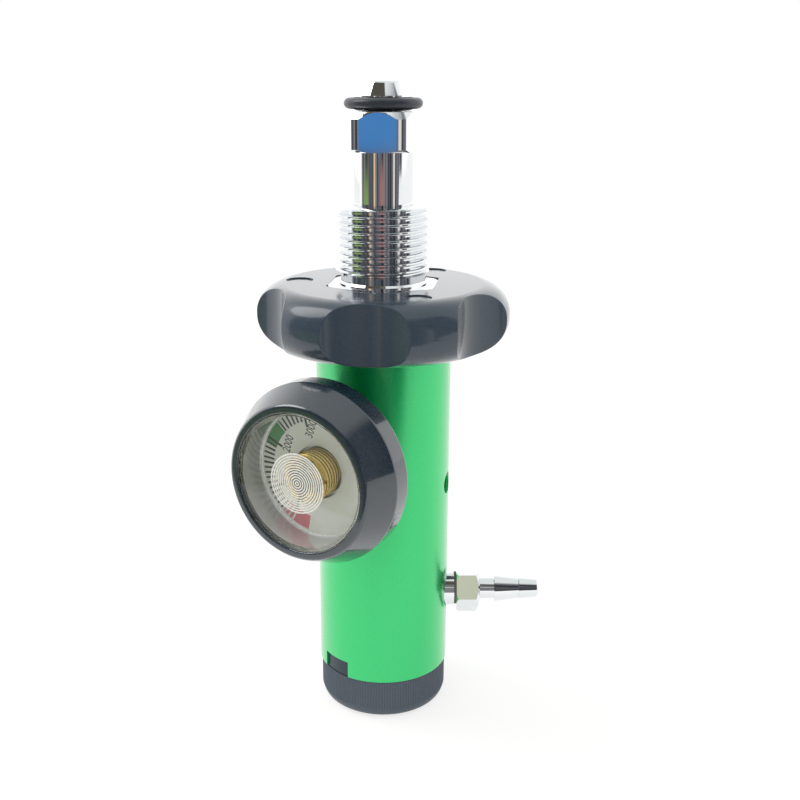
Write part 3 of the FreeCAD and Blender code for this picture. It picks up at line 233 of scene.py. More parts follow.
def surface(name, shades, grain, rough, bump=0.0, stretch=(1, 1, 1), **sockets):
    """A finish whose colour and roughness drift between two values by noise.

    The grain is the noise's size and the bump its depth, in millimetres. Stretch makes the
    noise finer along an axis. Sockets are set on the shader by name.
    """
    material = bpy.data.materials.new(name)
    material.use_nodes = True
    tree = material.node_tree
    tree.nodes.clear()
    where = add(tree, "ShaderNodeTexCoord")
    mapping = add(tree, "ShaderNodeMapping", {"Vector": where.outputs["Object"],
                                              "Scale": stretch})
    noise = add(tree, "ShaderNodeTexNoise", {"Vector": mapping.outputs["Vector"],
                                             "Scale": 1 / (grain * MM), "Detail": NOISE_DETAIL,
                                             "Roughness": NOISE_ROUGHNESS}).outputs["Fac"]
    shade = add(tree, "ShaderNodeValToRGB", {"Fac": noise})
    for stop, position, text in zip(shade.color_ramp.elements, (NOISE_LOW, NOISE_HIGH), shades):
        stop.position = position
        stop.color = colour(text)
    polish = add(tree, "ShaderNodeMapRange", {"Value": noise, "From Min": NOISE_LOW,
                                              "From Max": NOISE_HIGH, "To Min": rough[0],
                                              "To Max": rough[1]})
    inputs = {"Base Color": shade.outputs["Color"], "Roughness": polish.outputs["Result"]}
    inputs.update(sockets)
    if bump:
        relief = add(tree, "ShaderNodeBump", {"Height": noise, "Distance": bump * MM,
                                              "Strength": BUMP_STRENGTH})
        inputs["Normal"] = relief.outputs["Normal"]
    shader = add(tree, "ShaderNodeBsdfPrincipled", inputs)
    add(tree, "ShaderNodeOutputMaterial", {"Surface": shader.outputs["BSDF"]})
    return material


def dress(material, *names):
    """Gives nodes of the frame their finish."""
    for name in names:
        nodes[name].data.materials.clear()
        nodes[name].data.materials.append(material)


# Glass-filled nylon from a spark-textured mould: blue-grey and dull, with a soft sheen.
knob_plastic = surface("moulded_nylon_knob", ("#46505B", "#55606B"), 0.25, (0.36, 0.46), 0.008)
dress(knob_plastic, "flow_knob", "knob_cap")


# Outer sleeve
# A length of drawn aluminium tube, cut to length, drilled and notched, etched satin and
# anodised green. Its edges keep a small chamfer, and the one round the foot is painted pale.
# Points of a mesh that are nearer than these, in metres, become one.
MERGE = 1e-7
CARVE_MERGE = 2e-6


def lathe(points, steps=128):
    """A solid turned about Z from the (radius, height) corners of its half section in mm."""
    mesh = bmesh.new()
    corners = [mesh.verts.new((radius * MM, 0, height * MM)) for radius, height in points]
    for one, other in zip(corners, corners[1:]):
        mesh.edges.new((one, other))
    if points[0][0] > 0 or points[-1][0] > 0:
        mesh.edges.new((corners[-1], corners[0]))
    bmesh.ops.spin(mesh, geom=mesh.verts[:] + mesh.edges[:], axis=(0, 0, 1), cent=(0, 0, 0),
                   angle=2 * math.pi, steps=steps, use_merge=True)
    bmesh.ops.remove_doubles(mesh, verts=mesh.verts, dist=MERGE)
    bmesh.ops.recalc_face_normals(mesh, faces=mesh.faces)
    return mesh


def soften(mesh, size, segments=2, over=25):
    """Rounds the edges that are sharper than an angle in degrees, by a size in mm."""
    sharp = [edge for edge in mesh.edges if len(edge.link_faces) == 2
             and edge.calc_face_angle() > math.radians(over)]
    bmesh.ops.bevel(mesh, geom=sharp, offset=size * MM, segments=segments, profile=0.5,
                    affect="EDGES", material=-1, clamp_overlap=True)


def carve(mesh, tool, operation="DIFFERENCE"):
    """Cuts one closed mesh by another, or keeps what they share, and gives the result."""
    solids = []
    for part in (mesh, tool):
        solid = bpy.data.objects.new("carving", bpy.data.meshes.new("carving"))
        part.to_mesh(solid.data)
        part.free()
        bpy.context.scene.collection.objects.link(solid)
        solids.append(solid)
    cut = solids[0].modifiers.new("cut", "BOOLEAN")
    cut.operation = operation
    cut.object = solids[1]
    cut.solver = "EXACT"
    seen = solids[0].evaluated_get(bpy.context.evaluated_depsgraph_get())
    result = bmesh.new()
    result.from_mesh(bpy.data.meshes.new_from_object(seen))
    for solid in solids:
        bpy.data.objects.remove(solid)
    bmesh.ops.remove_doubles(result, verts=result.verts, dist=CARVE_MERGE)
    return result


def piece(name, mesh, material, body, stands_for=(), smooth=35):
    """Makes an object of a mesh that lies in place, with its finish and its carrier.

    Edges sharper than the smooth angle, in degrees, stay sharp.
    """
    made = bpy.data.objects.new(name, bpy.data.meshes.new(name))
    mesh.to_mesh(made.data)
    mesh.free()
    made.data.shade_smooth()
    made.data.set_sharp_from_angle(angle=math.radians(smooth))
    made.data.materials.append(material)
    bpy.context.scene.collection.objects.link(made)
    even = made.modifiers.new("even_shading", "WEIGHTED_NORMAL")
    even.keep_sharp = True
    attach(made, body)
    if stands_for:
        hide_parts(*stands_for)
    return made


def rod(radius, low, high, axis, steps=64):
    """A round bar between two heights in mm, along the Z of a place."""
    mesh = lathe([(0, low), (radius, low), (radius, high), (0, high)], steps)
    bmesh.ops.transform(mesh, matrix=axis, verts=mesh.verts)
    return mesh


def facing(angle, height):
    """Place whose Z looks outwards at an angle from the viewer's side, with Y up, in mm."""
    turn = math.radians(angle)
    out = Vector((math.sin(turn), -math.cos(turn), 0))
    right = Vector((math.cos(turn), math.sin(turn), 0))
    matrix = Matrix((right, (0, 0, 1), out)).transposed().to_4x4()
    return Matrix.Translation((0, 0, height * MM)) @ matrix


SLEEVE_WALL = 1.5
SLEEVE_EDGE = 0.25
SLEEVE_LIP = 0.5
SLEEVE_LIP_TOP = 15.6
SLEEVE_STEPS = 180
SLEEVE_ROWS = 30
SLEEVE_TALL_EDGE = 10
FOOT_CHAMFER_TILT = (-0.95, -0.3)
WINDOW_SIDES = (-62.5, -33.2)
WINDOW_TOP = 14.8
WINDOW_BELOW = 5
GAUGE_ANGLE = -29.7
GAUGE_HEIGHT = 70.85
# Each hole's angle from the viewer's side, its height and its radius.
VENT_HOLE = (75.0, 59.9, 2.75)
OUTLET_HOLE = (90.0, 28.9, 5.3)
GAUGE_HOLE = (GAUGE_ANGLE, GAUGE_HEIGHT, 5.7)
DRILL_REACH = 30

sleeve_low, sleeve_high = (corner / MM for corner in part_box("outer_sleeve"))
sleeve_radius = sleeve_high.x
sleeve = lathe([(sleeve_radius - SLEEVE_LIP, sleeve_low.z), (sleeve_radius, sleeve_low.z),
                (sleeve_radius, sleeve_high.z), (sleeve_radius - SLEEVE_WALL, sleeve_high.z),
                (sleeve_radius - SLEEVE_WALL, SLEEVE_LIP_TOP),
                (sleeve_radius - SLEEVE_LIP, SLEEVE_LIP_TOP)], steps=SLEEVE_STEPS)
# The long upright edges are divided into rows, so that the cuts leave no long thin facets.
upright = [edge for edge in sleeve.edges
           if abs(edge.verts[0].co.z - edge.verts[1].co.z) > SLEEVE_TALL_EDGE * MM]
bmesh.ops.subdivide_edges(sleeve, edges=upright, cuts=SLEEVE_ROWS)
window = bmesh.new()
corners = [window.verts.new((0, 0, (sleeve_low.z - WINDOW_BELOW) * MM))]
for angle in WINDOW_SIDES:
    side = facing(angle, sleeve_low.z - WINDOW_BELOW) @ Vector((0, 0, 2 * sleeve_radius * MM))
    corners.append(window.verts.new(side))
base = window.faces.new(corners)
risen = bmesh.ops.extrude_face_region(window, geom=[base])["geom"]
bmesh.ops.translate(window, verts=[part for part in risen if isinstance(part, bmesh.types.BMVert)],
                    vec=(0, 0, (WINDOW_TOP - sleeve_low.z + WINDOW_BELOW) * MM))
bmesh.ops.recalc_face_normals(window, faces=window.faces)
sleeve = carve(sleeve, window)
for angle, height, radius in (VENT_HOLE, OUTLET_HOLE, GAUGE_HOLE):
    sleeve = carve(sleeve, rod(radius, 0, DRILL_REACH, facing(angle, height)))
soften(sleeve, SLEEVE_EDGE, over=40)
# Aluminium, etched satin, dyed and sealed: metal under a clear oxide, which greys and pales
# the green where it turns away.
anodised = surface("green_anodised_aluminium", ("#04CC6C", "#0AD273"), 0.3, (0.27, 0.31),
                   **{"Metallic": 0.76, "Coat Weight": 0.85, "Coat IOR": 1.7,
                      "Coat Roughness": 0.2})
tube = piece("sleeve_tube", sleeve, anodised, "regulator", ["outer_sleeve"])
# Painted highlight: the foot's downward chamfer is painted pale metal, a thin bright line round the
# foot.
foot_edge_painted_highlight = surface("painted_highlight_foot_edge", ("#DDE3DF", "#E8ECE9"), 0.8, (0.3, 0.4), Metallic=0.7)
tube.data.materials.append(foot_edge_painted_highlight)
# Faces of the foot's downward chamfer take the painted highlight.
for face in tube.data.polygons:
    if FOOT_CHAMFER_TILT[0] < face.normal.z < FOOT_CHAMFER_TILT[1]:
        face.material_index = 1

# The knob carries a smooth number band, which fills the sleeve's thin lower lip.
BAND_GAP = 0.08
BAND_OVERLAP = 0.02
BAND_DROP = 0.1
band_out = sleeve_radius - SLEEVE_LIP - BAND_GAP
band_in = sleeve_radius - SLEEVE_WALL + BAND_OVERLAP
band = lathe([(band_in, sleeve_low.z - BAND_DROP), (band_out, sleeve_low.z - BAND_DROP),
              (band_out, SLEEVE_LIP_TOP - BAND_DROP), (band_in, SLEEVE_LIP_TOP - BAND_DROP)])
# Smooth moulded nylon, darker and glossier than the ribs, since it isn't textured.
band_plastic = surface("moulded_number_band", ("#1A2D3B", "#213442"), 0.6, (0.3, 0.4), 0.003)
piece("number_band", band, band_plastic, "selector")


# Valve body
# Two turned aluminium pieces inside the sleeve, with the nozzle, seat and ring seals between
# them. Only the rim under the nut shows, and what can be seen through the holes.
# Turned aluminium: fine rings of tool marks, which stretch the highlights upright.
turned = surface("turned_aluminium", ("#B9BDC0", "#C9CDD0"), 2.0, (0.28, 0.4), 0.004,
                 stretch=(0.2, 0.2, 8), Metallic=1.0)
dress(turned, "upper_body", "lower_body", "bearing_plate", "orifice_plate", "piston")
# Turned and drawn brass, not lacquered: yellow metal with bright narrow highlights.
brass = surface("turned_brass", ("#D2B462", "#D9BC6C"), 0.8, (0.2, 0.24), Metallic=1.0)
dress(brass, "seat_nozzle")
# Natural nylon of the valve seat: milky and waxy.
dress(surface("seat_nylon", ("#D8D4C4", "#E2DECF"), 1.0, (0.4, 0.5)), "valve_seat")
# Moulded nitrile rubber with a bloom of wax: near black, with a broad grey sheen.
rubber = surface("nitrile_rubber", ("#282D35", "#31363F"), 0.4, (0.3, 0.4), 0.004)
dress(rubber, "body_seal", "stem_seal", "piston_seal", "port_seal", "shaft_seal")


# Return spring
# The spring that pushes the piston back, wound from round steel wire. It shortens as the
# piston rises. The screws, the shaft and the knob's clicks are of the same plated steel.
SPRING_WIRE_RADIUS = 0.8
SPRING_WIRE_SIDES = 12
SPRING_TURNS = 4
SPRING_STEPS = 40
spring_low, spring_high = (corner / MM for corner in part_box("piston_spring"))
spring = bmesh.new()
bmesh.ops.create_circle(spring, cap_ends=True, segments=SPRING_WIRE_SIDES,
                        radius=SPRING_WIRE_RADIUS * MM)
bmesh.ops.rotate(spring, verts=spring.verts, cent=(0, 0, 0),
                 matrix=Matrix.Rotation(math.pi / 2, 3, "X"))
bmesh.ops.translate(spring, verts=spring.verts,
                    vec=((spring_high.x - SPRING_WIRE_RADIUS) * MM, 0,
                         (spring_low.z + SPRING_WIRE_RADIUS) * MM))
climb = (spring_high.z - spring_low.z - 2 * SPRING_WIRE_RADIUS) / (SPRING_TURNS * SPRING_STEPS)
bmesh.ops.spin(spring, geom=spring.faces[:], axis=(0, 0, 1), cent=(0, 0, 0),
               dvec=(0, 0, climb * MM), angle=2 * math.pi * SPRING_TURNS,
               steps=SPRING_TURNS * SPRING_STEPS)
bmesh.ops.recalc_face_normals(spring, faces=spring.faces)
# Plated steel: grey with a soft shine.
steel = surface("plated_steel", ("#A9ADB1", "#BCC0C4"), 1.5, (0.25, 0.38), Metallic=1.0)
dress(steel, "knob_screw", "plate_screws", "selector_shaft", "detent_spring", "detent_ball")
spring = piece("return_spring", spring, steel, "regulator", ["piston_spring"])
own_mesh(spring)


# Inlet nipple
# A chromed brass turning: a plain shaft that the nut runs on, a milled hexagon, and a coned
# nose that holds the ring seal. A sintered filter closes its bore.
# A hexagon is the same again after each side's turn. The bar's ends clear what it cuts.
HEX_SIDE_TURN = 60
HEX_BAR_ENDS = 60


def hexagon_waist(flats, low, high, angle, wide):
    """A bar, wide at both ends, that narrows to a hexagon between two heights in mm."""
    corner = flats / math.sqrt(3)
    mesh = lathe([(0, low - HEX_BAR_ENDS), (wide, low - HEX_BAR_ENDS), (wide, low),
                  (corner, low), (corner, high), (wide, high), (wide, high + HEX_BAR_ENDS),
                  (0, high + HEX_BAR_ENDS)], steps=6)
    bmesh.ops.rotate(mesh, verts=mesh.verts, cent=(0, 0, 0),
                     matrix=Matrix.Rotation(math.radians(angle - HEX_SIDE_TURN), 3, "Z"))
    return mesh


NIPPLE_SPIGOT = 6.2
NIPPLE_SHAFT = 6.95
NIPPLE_HEX = 19.6
NIPPLE_CORNER = 10.7
NIPPLE_HEX_LENGTH = 6.8
NIPPLE_HEX_ANGLE = -7.8
NIPPLE_BAR = 25
NIPPLE_CHAMFER = 0.6
NIPPLE_EDGE = 0.09
NIPPLE_CONE = 9.75
NIPPLE_CONE_RISE = 0.5
NIPPLE_CONE_LENGTH = 2.05
NOSE_BASE = 6.8
NOSE_TIP = 5.2
NOSE_LENGTH = 3.1
NOSE_EDGE = 0.35
INLET_BORE = 2.6
INLET_DEPTH = 7
seal_low, seal_high = (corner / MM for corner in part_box("nose_seal"))
nipple_low, nipple_high = (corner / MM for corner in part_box("inlet_nipple"))
body_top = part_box("upper_body")[1].z / MM
nose_base = nipple_high.z - NOSE_LENGTH
cone_top = seal_low.z + seal_high.z - nose_base
hex_top = cone_top - NIPPLE_CONE_LENGTH
hex_low = hex_top - NIPPLE_HEX_LENGTH
groove = seal_high.x - (seal_high.z - seal_low.z)
nipple = lathe([(0, nipple_low.z), (NIPPLE_SPIGOT, nipple_low.z), (NIPPLE_SPIGOT, body_top),
                (NIPPLE_SHAFT, body_top), (NIPPLE_SHAFT, hex_low),
                (NIPPLE_CORNER - NIPPLE_CHAMFER, hex_low),
                (NIPPLE_CORNER, hex_low + NIPPLE_CHAMFER),
                (NIPPLE_CORNER, hex_top + NIPPLE_CONE_RISE),
                (NIPPLE_CONE, cone_top), (NOSE_BASE, cone_top), (NOSE_BASE, seal_low.z),
                (groove, seal_low.z), (groove, seal_high.z), (NOSE_BASE, seal_high.z),
                (NOSE_BASE, nose_base), (NOSE_TIP, nipple_high.z - NOSE_EDGE),
                (NOSE_TIP - NOSE_EDGE, nipple_high.z), (INLET_BORE, nipple_high.z),
                (INLET_BORE, nipple_high.z - INLET_DEPTH), (0, nipple_high.z - INLET_DEPTH)])
nipple = carve(nipple, hexagon_waist(NIPPLE_HEX, hex_low, cone_top, NIPPLE_HEX_ANGLE,
                                     NIPPLE_BAR), "INTERSECT")
soften(nipple, NIPPLE_EDGE, over=28)
# Bright chrome over polished brass: a mirror with hardly any haze, so it shows the room.
chrome = surface("chrome_on_brass", ("#E8EBED", "#EFF1F3"), 6.0, (0.04, 0.07), Metallic=1.0)
piece("nipple_turning", nipple, chrome, "regulator", ["inlet_nipple"])
dress(rubber, "nose_seal", "nipple_seal")
# Sintered bronze balls: brown and rough, with the pores as fine pits.
dress(surface("sintered_bronze", ("#7E6238", "#A58450"), 0.25, (0.5, 0.7), 0.03, Metallic=1.0),
      "inlet_filter")


# Coupling nut
# Chromed brass, turned and threaded, with a hexagonal foot that the wheel is pressed on. It
# screws into the cylinder valve and turns on the nipple's shaft.
NUT_BORE = 7.01
NUT_HEX = 25.4
NUT_CORNER = 14.35
NUT_HEX_HEIGHT = 13.55
NUT_BAR = 40
NUT_FLANGE_HEIGHT = 1.4
NUT_COLLAR = 10.2
NUT_COLLAR_LENGTH = 2.65
NUT_COLLAR_LIP = 0.5
NUT_CHAMFER = 0.8
NUT_EDGE = 0.1
NUT_SEAT = 8.66
NUT_SEAT_GAP = 0.02
WHEEL_ANGLE = 21.8
THREAD_RADIUS = 11.47
THREAD_ROOT = 10.25
THREAD_PITCH = 1.814
THREAD_RUN_IN = 0.9
THREAD_ALLOWANCE = 0.2
THREAD_ROWS = 12
THREAD_STEPS = 96
WAVE_MIDDLE = 0.52
WAVE_SWING = 0.66
THREAD_MERGE = 1e-6
nut_low, nut_high = (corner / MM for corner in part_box("coupling_nut"))
nut_hex_low = nut_low.z + NUT_FLANGE_HEIGHT
nut_hex_top = nut_hex_low + NUT_HEX_HEIGHT
thread_low = nut_hex_top + NUT_COLLAR_LENGTH
washer_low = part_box("thrust_washer")[0].z / MM
nut = lathe([(NUT_BORE, nut_low.z), (nut_high.x, nut_low.z), (nut_high.x, nut_hex_low),
             (NUT_CORNER, nut_hex_low), (NUT_CORNER, nut_hex_top - NUT_CHAMFER),
             (NUT_CORNER - NUT_CHAMFER, nut_hex_top),
             (NUT_COLLAR + NUT_COLLAR_LIP, nut_hex_top),
             (NUT_COLLAR + NUT_COLLAR_LIP, nut_hex_top + NUT_COLLAR_LIP),
             (NUT_COLLAR, nut_hex_top + 2 * NUT_COLLAR_LIP), (NUT_COLLAR, thread_low),
             (NUT_BORE, thread_low)])
nut = carve(nut, hexagon_waist(NUT_HEX, nut_hex_low, nut_hex_top, WHEEL_ANGLE, NUT_BAR),
            "INTERSECT")
soften(nut, NUT_EDGE, over=28)
piece("nut_foot", nut, chrome, "nut", ["coupling_nut"])

# The thread's profile is a wave, cut off so that crests and roots are flat. It starts two
# pitches low and ends one high, is swept into a screw, and is trimmed to a turned blank.
screw = bmesh.new()
row = THREAD_PITCH / THREAD_ROWS
last = None
for place in range(int((nut_high.z - thread_low + 3 * THREAD_PITCH) / row)):
    wave = WAVE_MIDDLE + WAVE_SWING * math.cos(2 * math.pi * place / THREAD_ROWS)
    radius = THREAD_ROOT + (THREAD_RADIUS - THREAD_ROOT) * min(1, max(0, wave))
    point = screw.verts.new((radius * MM, 0, (thread_low - 2 * THREAD_PITCH + place * row) * MM))
    if last:
        screw.edges.new((last, point))
    last = point
bmesh.ops.spin(screw, geom=screw.verts[:] + screw.edges[:], axis=(0, 0, 1), cent=(0, 0, 0),
               dvec=(0, 0, THREAD_PITCH * MM / THREAD_STEPS), angle=2 * math.pi,
               steps=THREAD_STEPS, use_merge=False)
bmesh.ops.remove_doubles(screw, verts=screw.verts, dist=THREAD_MERGE)
for height, side in ((thread_low - 0.5 * THREAD_PITCH, -1), (nut_high.z + 0.5 * THREAD_PITCH, 1)):
    bmesh.ops.bisect_plane(screw, geom=screw.verts[:] + screw.edges[:] + screw.faces[:],
                           plane_co=(0, 0, height * MM), plane_no=(0, 0, side),
                           clear_outer=True)
    rim = [edge for edge in screw.edges if edge.is_boundary
           and all(abs(end.co.z - height * MM) < THREAD_MERGE for end in edge.verts)]
    bmesh.ops.holes_fill(screw, edges=rim)
bmesh.ops.recalc_face_normals(screw, faces=screw.faces)
blank = lathe([(NUT_BORE, thread_low), (THREAD_ROOT, thread_low),
               (THREAD_RADIUS + THREAD_ALLOWANCE, thread_low + THREAD_RUN_IN),
               (THREAD_RADIUS + THREAD_ALLOWANCE, nut_high.z - NUT_CHAMFER),
               (THREAD_RADIUS - NUT_CHAMFER, nut_high.z), (NUT_SEAT, nut_high.z),
               (NUT_SEAT, washer_low - NUT_SEAT_GAP), (NUT_BORE, washer_low - NUT_SEAT_GAP)],
              steps=THREAD_STEPS)
thread = carve(blank, screw, "INTERSECT")
piece("nut_thread", thread, chrome, "nut", ["coupling_nut"], smooth=50)
# Polished stainless steel of the bearing washer: bright, with a slight haze.
dress(surface("polished_steel", ("#DDDEDD", "#E6E7E6"), 1.0, (0.12, 0.2), Metallic=1.0),
      "thrust_washer")


# Handwheel
# One black moulding with six lobes, pressed over the nut's hexagon and turned by hand. Its
# round gate marks are left from the mould.
# Black nylon from a polished mould: slate-grey, with a clear skin that shines at low angles.
dress(surface("moulded_nylon_wheel", ("#34404B", "#3A4651"), 0.5, (0.2, 0.26), 0.002,
              **{"Specular IOR Level": 0.35, "Coat Weight": 1.0, "Coat IOR": 1.3,
                 "Coat Roughness": 0.08}), "handwheel")


# Outlet
# A chromed seat pressed into the body, a dark sealing washer and the one-piece hose barb,
# turned from hexagonal bar.
dress(chrome, "outlet_collar", "outlet_barb")
# Vulcanised fibre, punched from sheet: a dull grey-brown edge between two chromed faces.
dress(surface("vulcanised_fibre", ("#77766A", "#86857A"), 0.6, (0.5, 0.6), 0.01),
      "outlet_washer")


# Pressure gauge
# A steel can on a brass stem, inside a rubber boot. The coiled tube unwinds with pressure and
# turns the needle that sits on its end, behind a clear cap with moulded rings.
BOOT_FRONT = 39.0
BOOT_BACK = 25.2
BOOT_SHOULDER = 31.6
BOOT_FRONT_WALL = 1.45
BOOT_REAR_WALL = 4.65
BOOT_FRONT_CHAMFER = 0.6
BOOT_REAR_ROUND = 1.5
BOOT_EDGE = 0.3
BOOT_LIP = 0.75
BOOT_STEM_HOLE = 6.2
CASE_BACK = 27.0
GAUGE_STEPS = 160
gauge = facing(GAUGE_ANGLE, GAUGE_HEIGHT)
case_low, case_high = (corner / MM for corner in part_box("gauge_case"))
case_radius = (case_high.z - case_low.z) / 2
dial_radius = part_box("gauge_dial")[1].z / MM - GAUGE_HEIGHT
boot_rear = case_radius + BOOT_REAR_WALL
boot = lathe([(BOOT_STEM_HOLE, BOOT_BACK), (boot_rear - BOOT_REAR_ROUND, BOOT_BACK),
              (boot_rear, BOOT_BACK + BOOT_REAR_ROUND), (boot_rear, BOOT_SHOULDER),
              (case_radius + BOOT_FRONT_WALL, BOOT_FRONT - BOOT_FRONT_CHAMFER),
              (case_radius + BOOT_FRONT_WALL - BOOT_FRONT_CHAMFER, BOOT_FRONT),
              (dial_radius, BOOT_FRONT), (dial_radius, BOOT_FRONT - BOOT_LIP),
              (case_radius, BOOT_FRONT - BOOT_LIP), (case_radius, CASE_BACK),
              (BOOT_STEM_HOLE, CASE_BACK)], steps=GAUGE_STEPS)
soften(boot, BOOT_EDGE, segments=3, over=20)
bmesh.ops.transform(boot, matrix=gauge, verts=boot.verts)
# Dipped vinyl rubber: black and glossy, with soft reflections on its cone. Its blue tint is a
# painted reflection.
boot_rubber = surface("gauge_boot_rubber", ("#14242F", "#1A2B38"), 0.8, (0.22, 0.3), 0.001,
                      **{"Coat Weight": 1.0, "Coat IOR": 1.65, "Coat Roughness": 0.06})
piece("rubber_boot", boot, boot_rubber, "regulator", ["gauge_boot"])
# Tinned steel can: pale and satin, so it lights up the cap's wall from behind.
dress(surface("tinned_steel", ("#E3E6E2", "#EEF0EC"), 1.5, (0.3, 0.4), Metallic=0.6),
      "gauge_case")
dress(brass, "gauge_stem")
dress(rubber, "gauge_washer")

# The coil is a tube rolled flat and wound on edge, so its rim shows as fine ribs. Its turns
# are drawn fewer and thicker than real ones, because those are too fine to show.
COIL_RADIUS = 5.05
COIL_STRIP = 0.65
COIL_THICKNESS = 0.56
COIL_ROUND = 0.14
COIL_BACK = 27.57
COIL_FRONT = 35.18
COIL_TURNS = 7
COIL_STEPS = 72
coil = bmesh.new()
half = COIL_THICKNESS / 2
strip = []
for side, height in ((-1, -half + COIL_ROUND), (-1, half - COIL_ROUND),
                     (-1 + COIL_ROUND / COIL_STRIP, half), (1 - COIL_ROUND / COIL_STRIP, half),
                     (1, half - COIL_ROUND), (1, -half + COIL_ROUND),
                     (1 - COIL_ROUND / COIL_STRIP, -half), (-1 + COIL_ROUND / COIL_STRIP, -half)):
    strip.append(coil.verts.new(((COIL_RADIUS + side * COIL_STRIP) * MM, 0,
                                 (COIL_BACK + half + height) * MM)))
start = coil.faces.new(strip)
climb = (COIL_FRONT - COIL_BACK - COIL_THICKNESS) / (COIL_TURNS * COIL_STEPS)
bmesh.ops.spin(coil, geom=[start], axis=(0, 0, 1), cent=(0, 0, 0), dvec=(0, 0, climb * MM),
               angle=2 * math.pi * COIL_TURNS, steps=COIL_TURNS * COIL_STEPS)
bmesh.ops.recalc_face_normals(coil, faces=coil.faces)
bmesh.ops.transform(coil, matrix=gauge, verts=coil.verts)
piece("coiled_tube", coil, brass, "regulator", ["bourdon_coil"])

# The dial is white, with the scale printed on it, and fitted turned to the left. Every tenth
# mark is long. The first marks, and three in the green field, aren't printed. A mark has its
# inner radius and width here, a field its two angles and inner radius, a number its place.
DIAL_FRONT = 29.5
DIAL_ZERO = 194.0
DIAL_STEP = 5.05
DIAL_TURN = 287.5
DIAL_MARKS = 31
BARE_MARKS = (0, 1, 2, 21, 22, 23)
LAST_WHITE_MARK = 5
LONG_MARK_EVERY = 10
MARK_OUTER = 14.9
LONG_MARK = (10.6, 0.55)
SHORT_MARK = (12.0, 0.48)
RED_FIELD = (DIAL_ZERO - 3, DIAL_ZERO + 5.4 * DIAL_STEP, 11.4)
GREEN_FIELD = (291, 313, 11.9)
FIELD_OUTER = 14.95
FIELD_STEPS = 24
NUMBERS = (("1000", -8.7, -3.4), ("2000", -7.9, 5.5), ("3000", -1.6, 10.0))
NUMBER_SIZE = 3.0
NUMBER_WIDTH = 0.72
PRINT = 0.02
# Stoved enamel on a pressed aluminium dial: white, smooth and half dull. Its faint green tint is a
# painted reflection.
dress(surface("enamelled_dial", ("#F1F8E2", "#F8FCF0"), 3.0, (0.35, 0.45)), "gauge_dial")
# Black lacquer on the stamped needle: flat and even.
dress(surface("black_needle", ("#15171A", "#1C1F23"), 1.0, (0.4, 0.5)), "gauge_pointer")


def tick(mesh, angle, inner, width):
    """Adds a printed stroke along a radius, at an angle clockwise from the top."""
    turn = Matrix.Rotation(math.radians(-angle), 4, "Z")
    shift = Matrix.Translation((0, (inner + MARK_OUTER) / 2 * MM, (DIAL_FRONT + PRINT) * MM))
    size = Matrix.Diagonal((width * MM, (MARK_OUTER - inner) * MM, PRINT * MM, 1))
    bmesh.ops.create_cube(mesh, size=1, matrix=turn @ shift @ size)


def field(start, end, inner):
    """A printed field between two angles clockwise from the top, from a radius to the rim."""
    mesh = bmesh.new()
    turn = Matrix.Rotation(math.radians(-start), 3, "Z")
    edge = [mesh.verts.new(turn @ Vector((0, radius * MM, (DIAL_FRONT + 0.25 * PRINT) * MM)))
            for radius in (inner, FIELD_OUTER)]
    line = mesh.edges.new(edge)
    bmesh.ops.spin(mesh, geom=edge + [line], axis=(0, 0, -1), cent=(0, 0, 0),
                   angle=math.radians(end - start), steps=FIELD_STEPS)
    bmesh.ops.solidify(mesh, geom=mesh.faces[:], thickness=0.5 * PRINT * MM)
    return mesh


def number(mesh, text, right, up):
    """Adds a printed number, upright for the dial, centred at a place in mm."""
    curve = bpy.data.curves.new("number", "FONT")
    curve.body = text
    curve.size = NUMBER_SIZE * MM
    curve.align_x = "CENTER"
    curve.align_y = "CENTER"
    curve.extrude = 0.5 * PRINT * MM
    curve.resolution_u = 3
    letters = bpy.data.objects.new("number", curve)
    bpy.context.scene.collection.objects.link(letters)
    bpy.context.view_layer.update()
    seen = letters.evaluated_get(bpy.context.evaluated_depsgraph_get())
    flat = bpy.data.meshes.new_from_object(seen)
    flat.transform(Matrix.Diagonal((NUMBER_WIDTH, 1, 1, 1)))
    flat.transform(Matrix.Rotation(math.radians(-DIAL_TURN), 4, "Z"))
    flat.transform(Matrix.Translation((right * MM, up * MM, (DIAL_FRONT + PRINT) * MM)))
    mesh.from_mesh(flat)
    bpy.data.objects.remove(letters)


black = bmesh.new()
pale = bmesh.new()
for mark in range(DIAL_MARKS):
    angle = DIAL_ZERO + DIAL_STEP * mark
    if mark in BARE_MARKS:
        continue
    if mark % LONG_MARK_EVERY == 0:
        tick(black, angle, *LONG_MARK)
    else:
        tick(pale if mark <= LAST_WHITE_MARK else black, angle, *SHORT_MARK)
for text, right, up in NUMBERS:
    number(black, text, right, up)
# Screen-printed inks, a little uneven in density, with an edge that stands up from the paint.
for name, mesh, shades in (("dial_scale", black, ("#15171A", "#1F2226")),
                           ("dial_white_marks", pale, ("#ECE6E2", "#F2EEEA")),
                           ("dial_red_field", field(*RED_FIELD), ("#DE6068", "#E36C72")),
                           ("dial_green_field", field(*GREEN_FIELD), ("#3F9450", "#4A9E5A"))):
    bmesh.ops.transform(mesh, matrix=gauge, verts=mesh.verts)
    ink = surface("printed_" + name, shades, 0.4, (0.4, 0.5))
    piece(name, mesh, ink, "regulator")
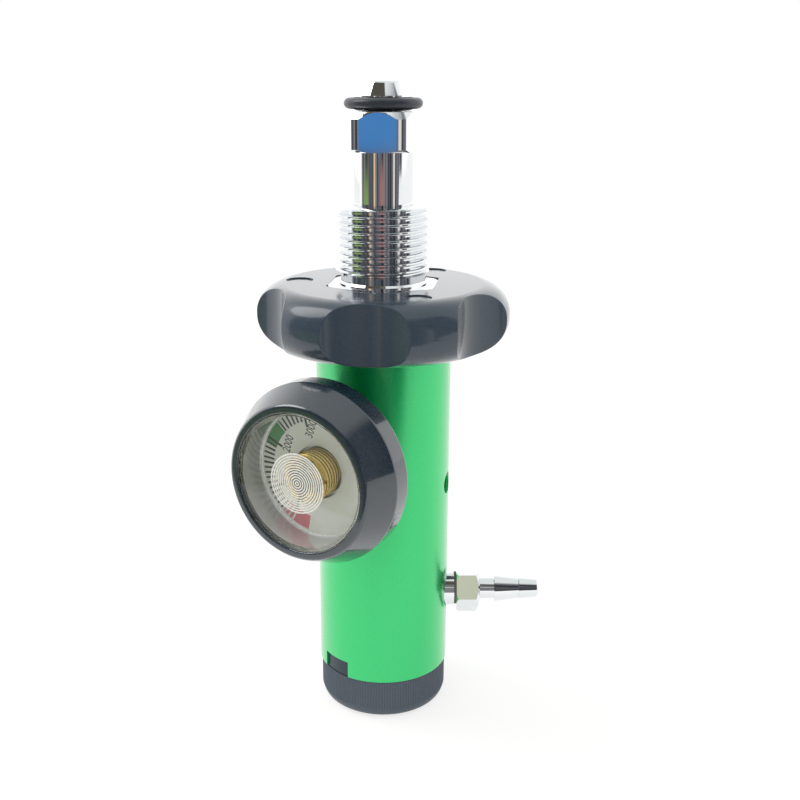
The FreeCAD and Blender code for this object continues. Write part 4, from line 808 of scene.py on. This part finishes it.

# The lens is a clear moulded cup, open to the dial, with fine frosted rings round its middle that
# carry painted highlights.
LENS_FRONT = 38.55
LENS_THICKNESS = 1.35
LENS_WALL = 0.9
LENS_GAP = 0.05
LENS_EDGE = 0.25
RINGS = 12
RING_PITCH = 0.585
RING_HEIGHT = 0.14
RING_SHARES = (0.35, 0.98)
RING_STEPS = 120
lens_back = DIAL_FRONT + LENS_GAP
lens = lathe([(0, LENS_FRONT - LENS_THICKNESS),
              (dial_radius - LENS_WALL, LENS_FRONT - LENS_THICKNESS),
              (dial_radius - LENS_WALL, lens_back), (dial_radius, lens_back),
              (dial_radius, LENS_FRONT - LENS_EDGE), (dial_radius - LENS_EDGE, LENS_FRONT),
              (0, LENS_FRONT)], steps=GAUGE_STEPS)
bmesh.ops.transform(lens, matrix=gauge, verts=lens.verts)
# Clear moulded polycarbonate: no tint, mirror smooth. It is thin, so lamp light passes it.
clear = surface("clear_polycarbonate", ("#FFFFFF", "#FFFFFF"), 4.0, (0.0, 0.01),
                **{"Transmission Weight": 1.0, "IOR": 1.49})
tree = clear.node_tree
covered = tree.nodes["Material Output"].inputs["Surface"]
path = add(tree, "ShaderNodeLightPath").outputs
thin = add(tree, "ShaderNodeBsdfTransparent")
both = add(tree, "ShaderNodeMixShader", {"Fac": path["Is Shadow Ray"],
                                         1: covered.links[0].from_socket, 2: thin.outputs[0]})
tree.links.new(both.outputs[0], covered)
piece("lens_cup", lens, clear, "regulator", ["gauge_lens"])
rings = bmesh.new()
for count in range(RINGS):
    inner, outer = ((count + share) * RING_PITCH for share in RING_SHARES)
    ring = lathe([(inner, LENS_FRONT), (outer, LENS_FRONT),
                  ((inner + outer) / 2, LENS_FRONT + RING_HEIGHT)], steps=RING_STEPS)
    flat = bpy.data.meshes.new("ring")
    ring.to_mesh(flat)
    ring.free()
    rings.from_mesh(flat)
bmesh.ops.transform(rings, matrix=gauge, verts=rings.verts)
# The rings are etched in the mould: the same plastic, milky where it isn't polished. Their
# near-white colour is also painted highlight on the ring grooves.
frosted_and_highlit_rings = surface("frosted_polycarbonate_painted_highlight", ("#FAF8EC", "#FFFFF8"), 0.5, (0.2, 0.3),
                  **{"Transmission Weight": 0.22, "IOR": 1.49})
piece("lens_rings", rings, frosted_and_highlit_rings, "regulator", ["gauge_lens"], smooth=80)
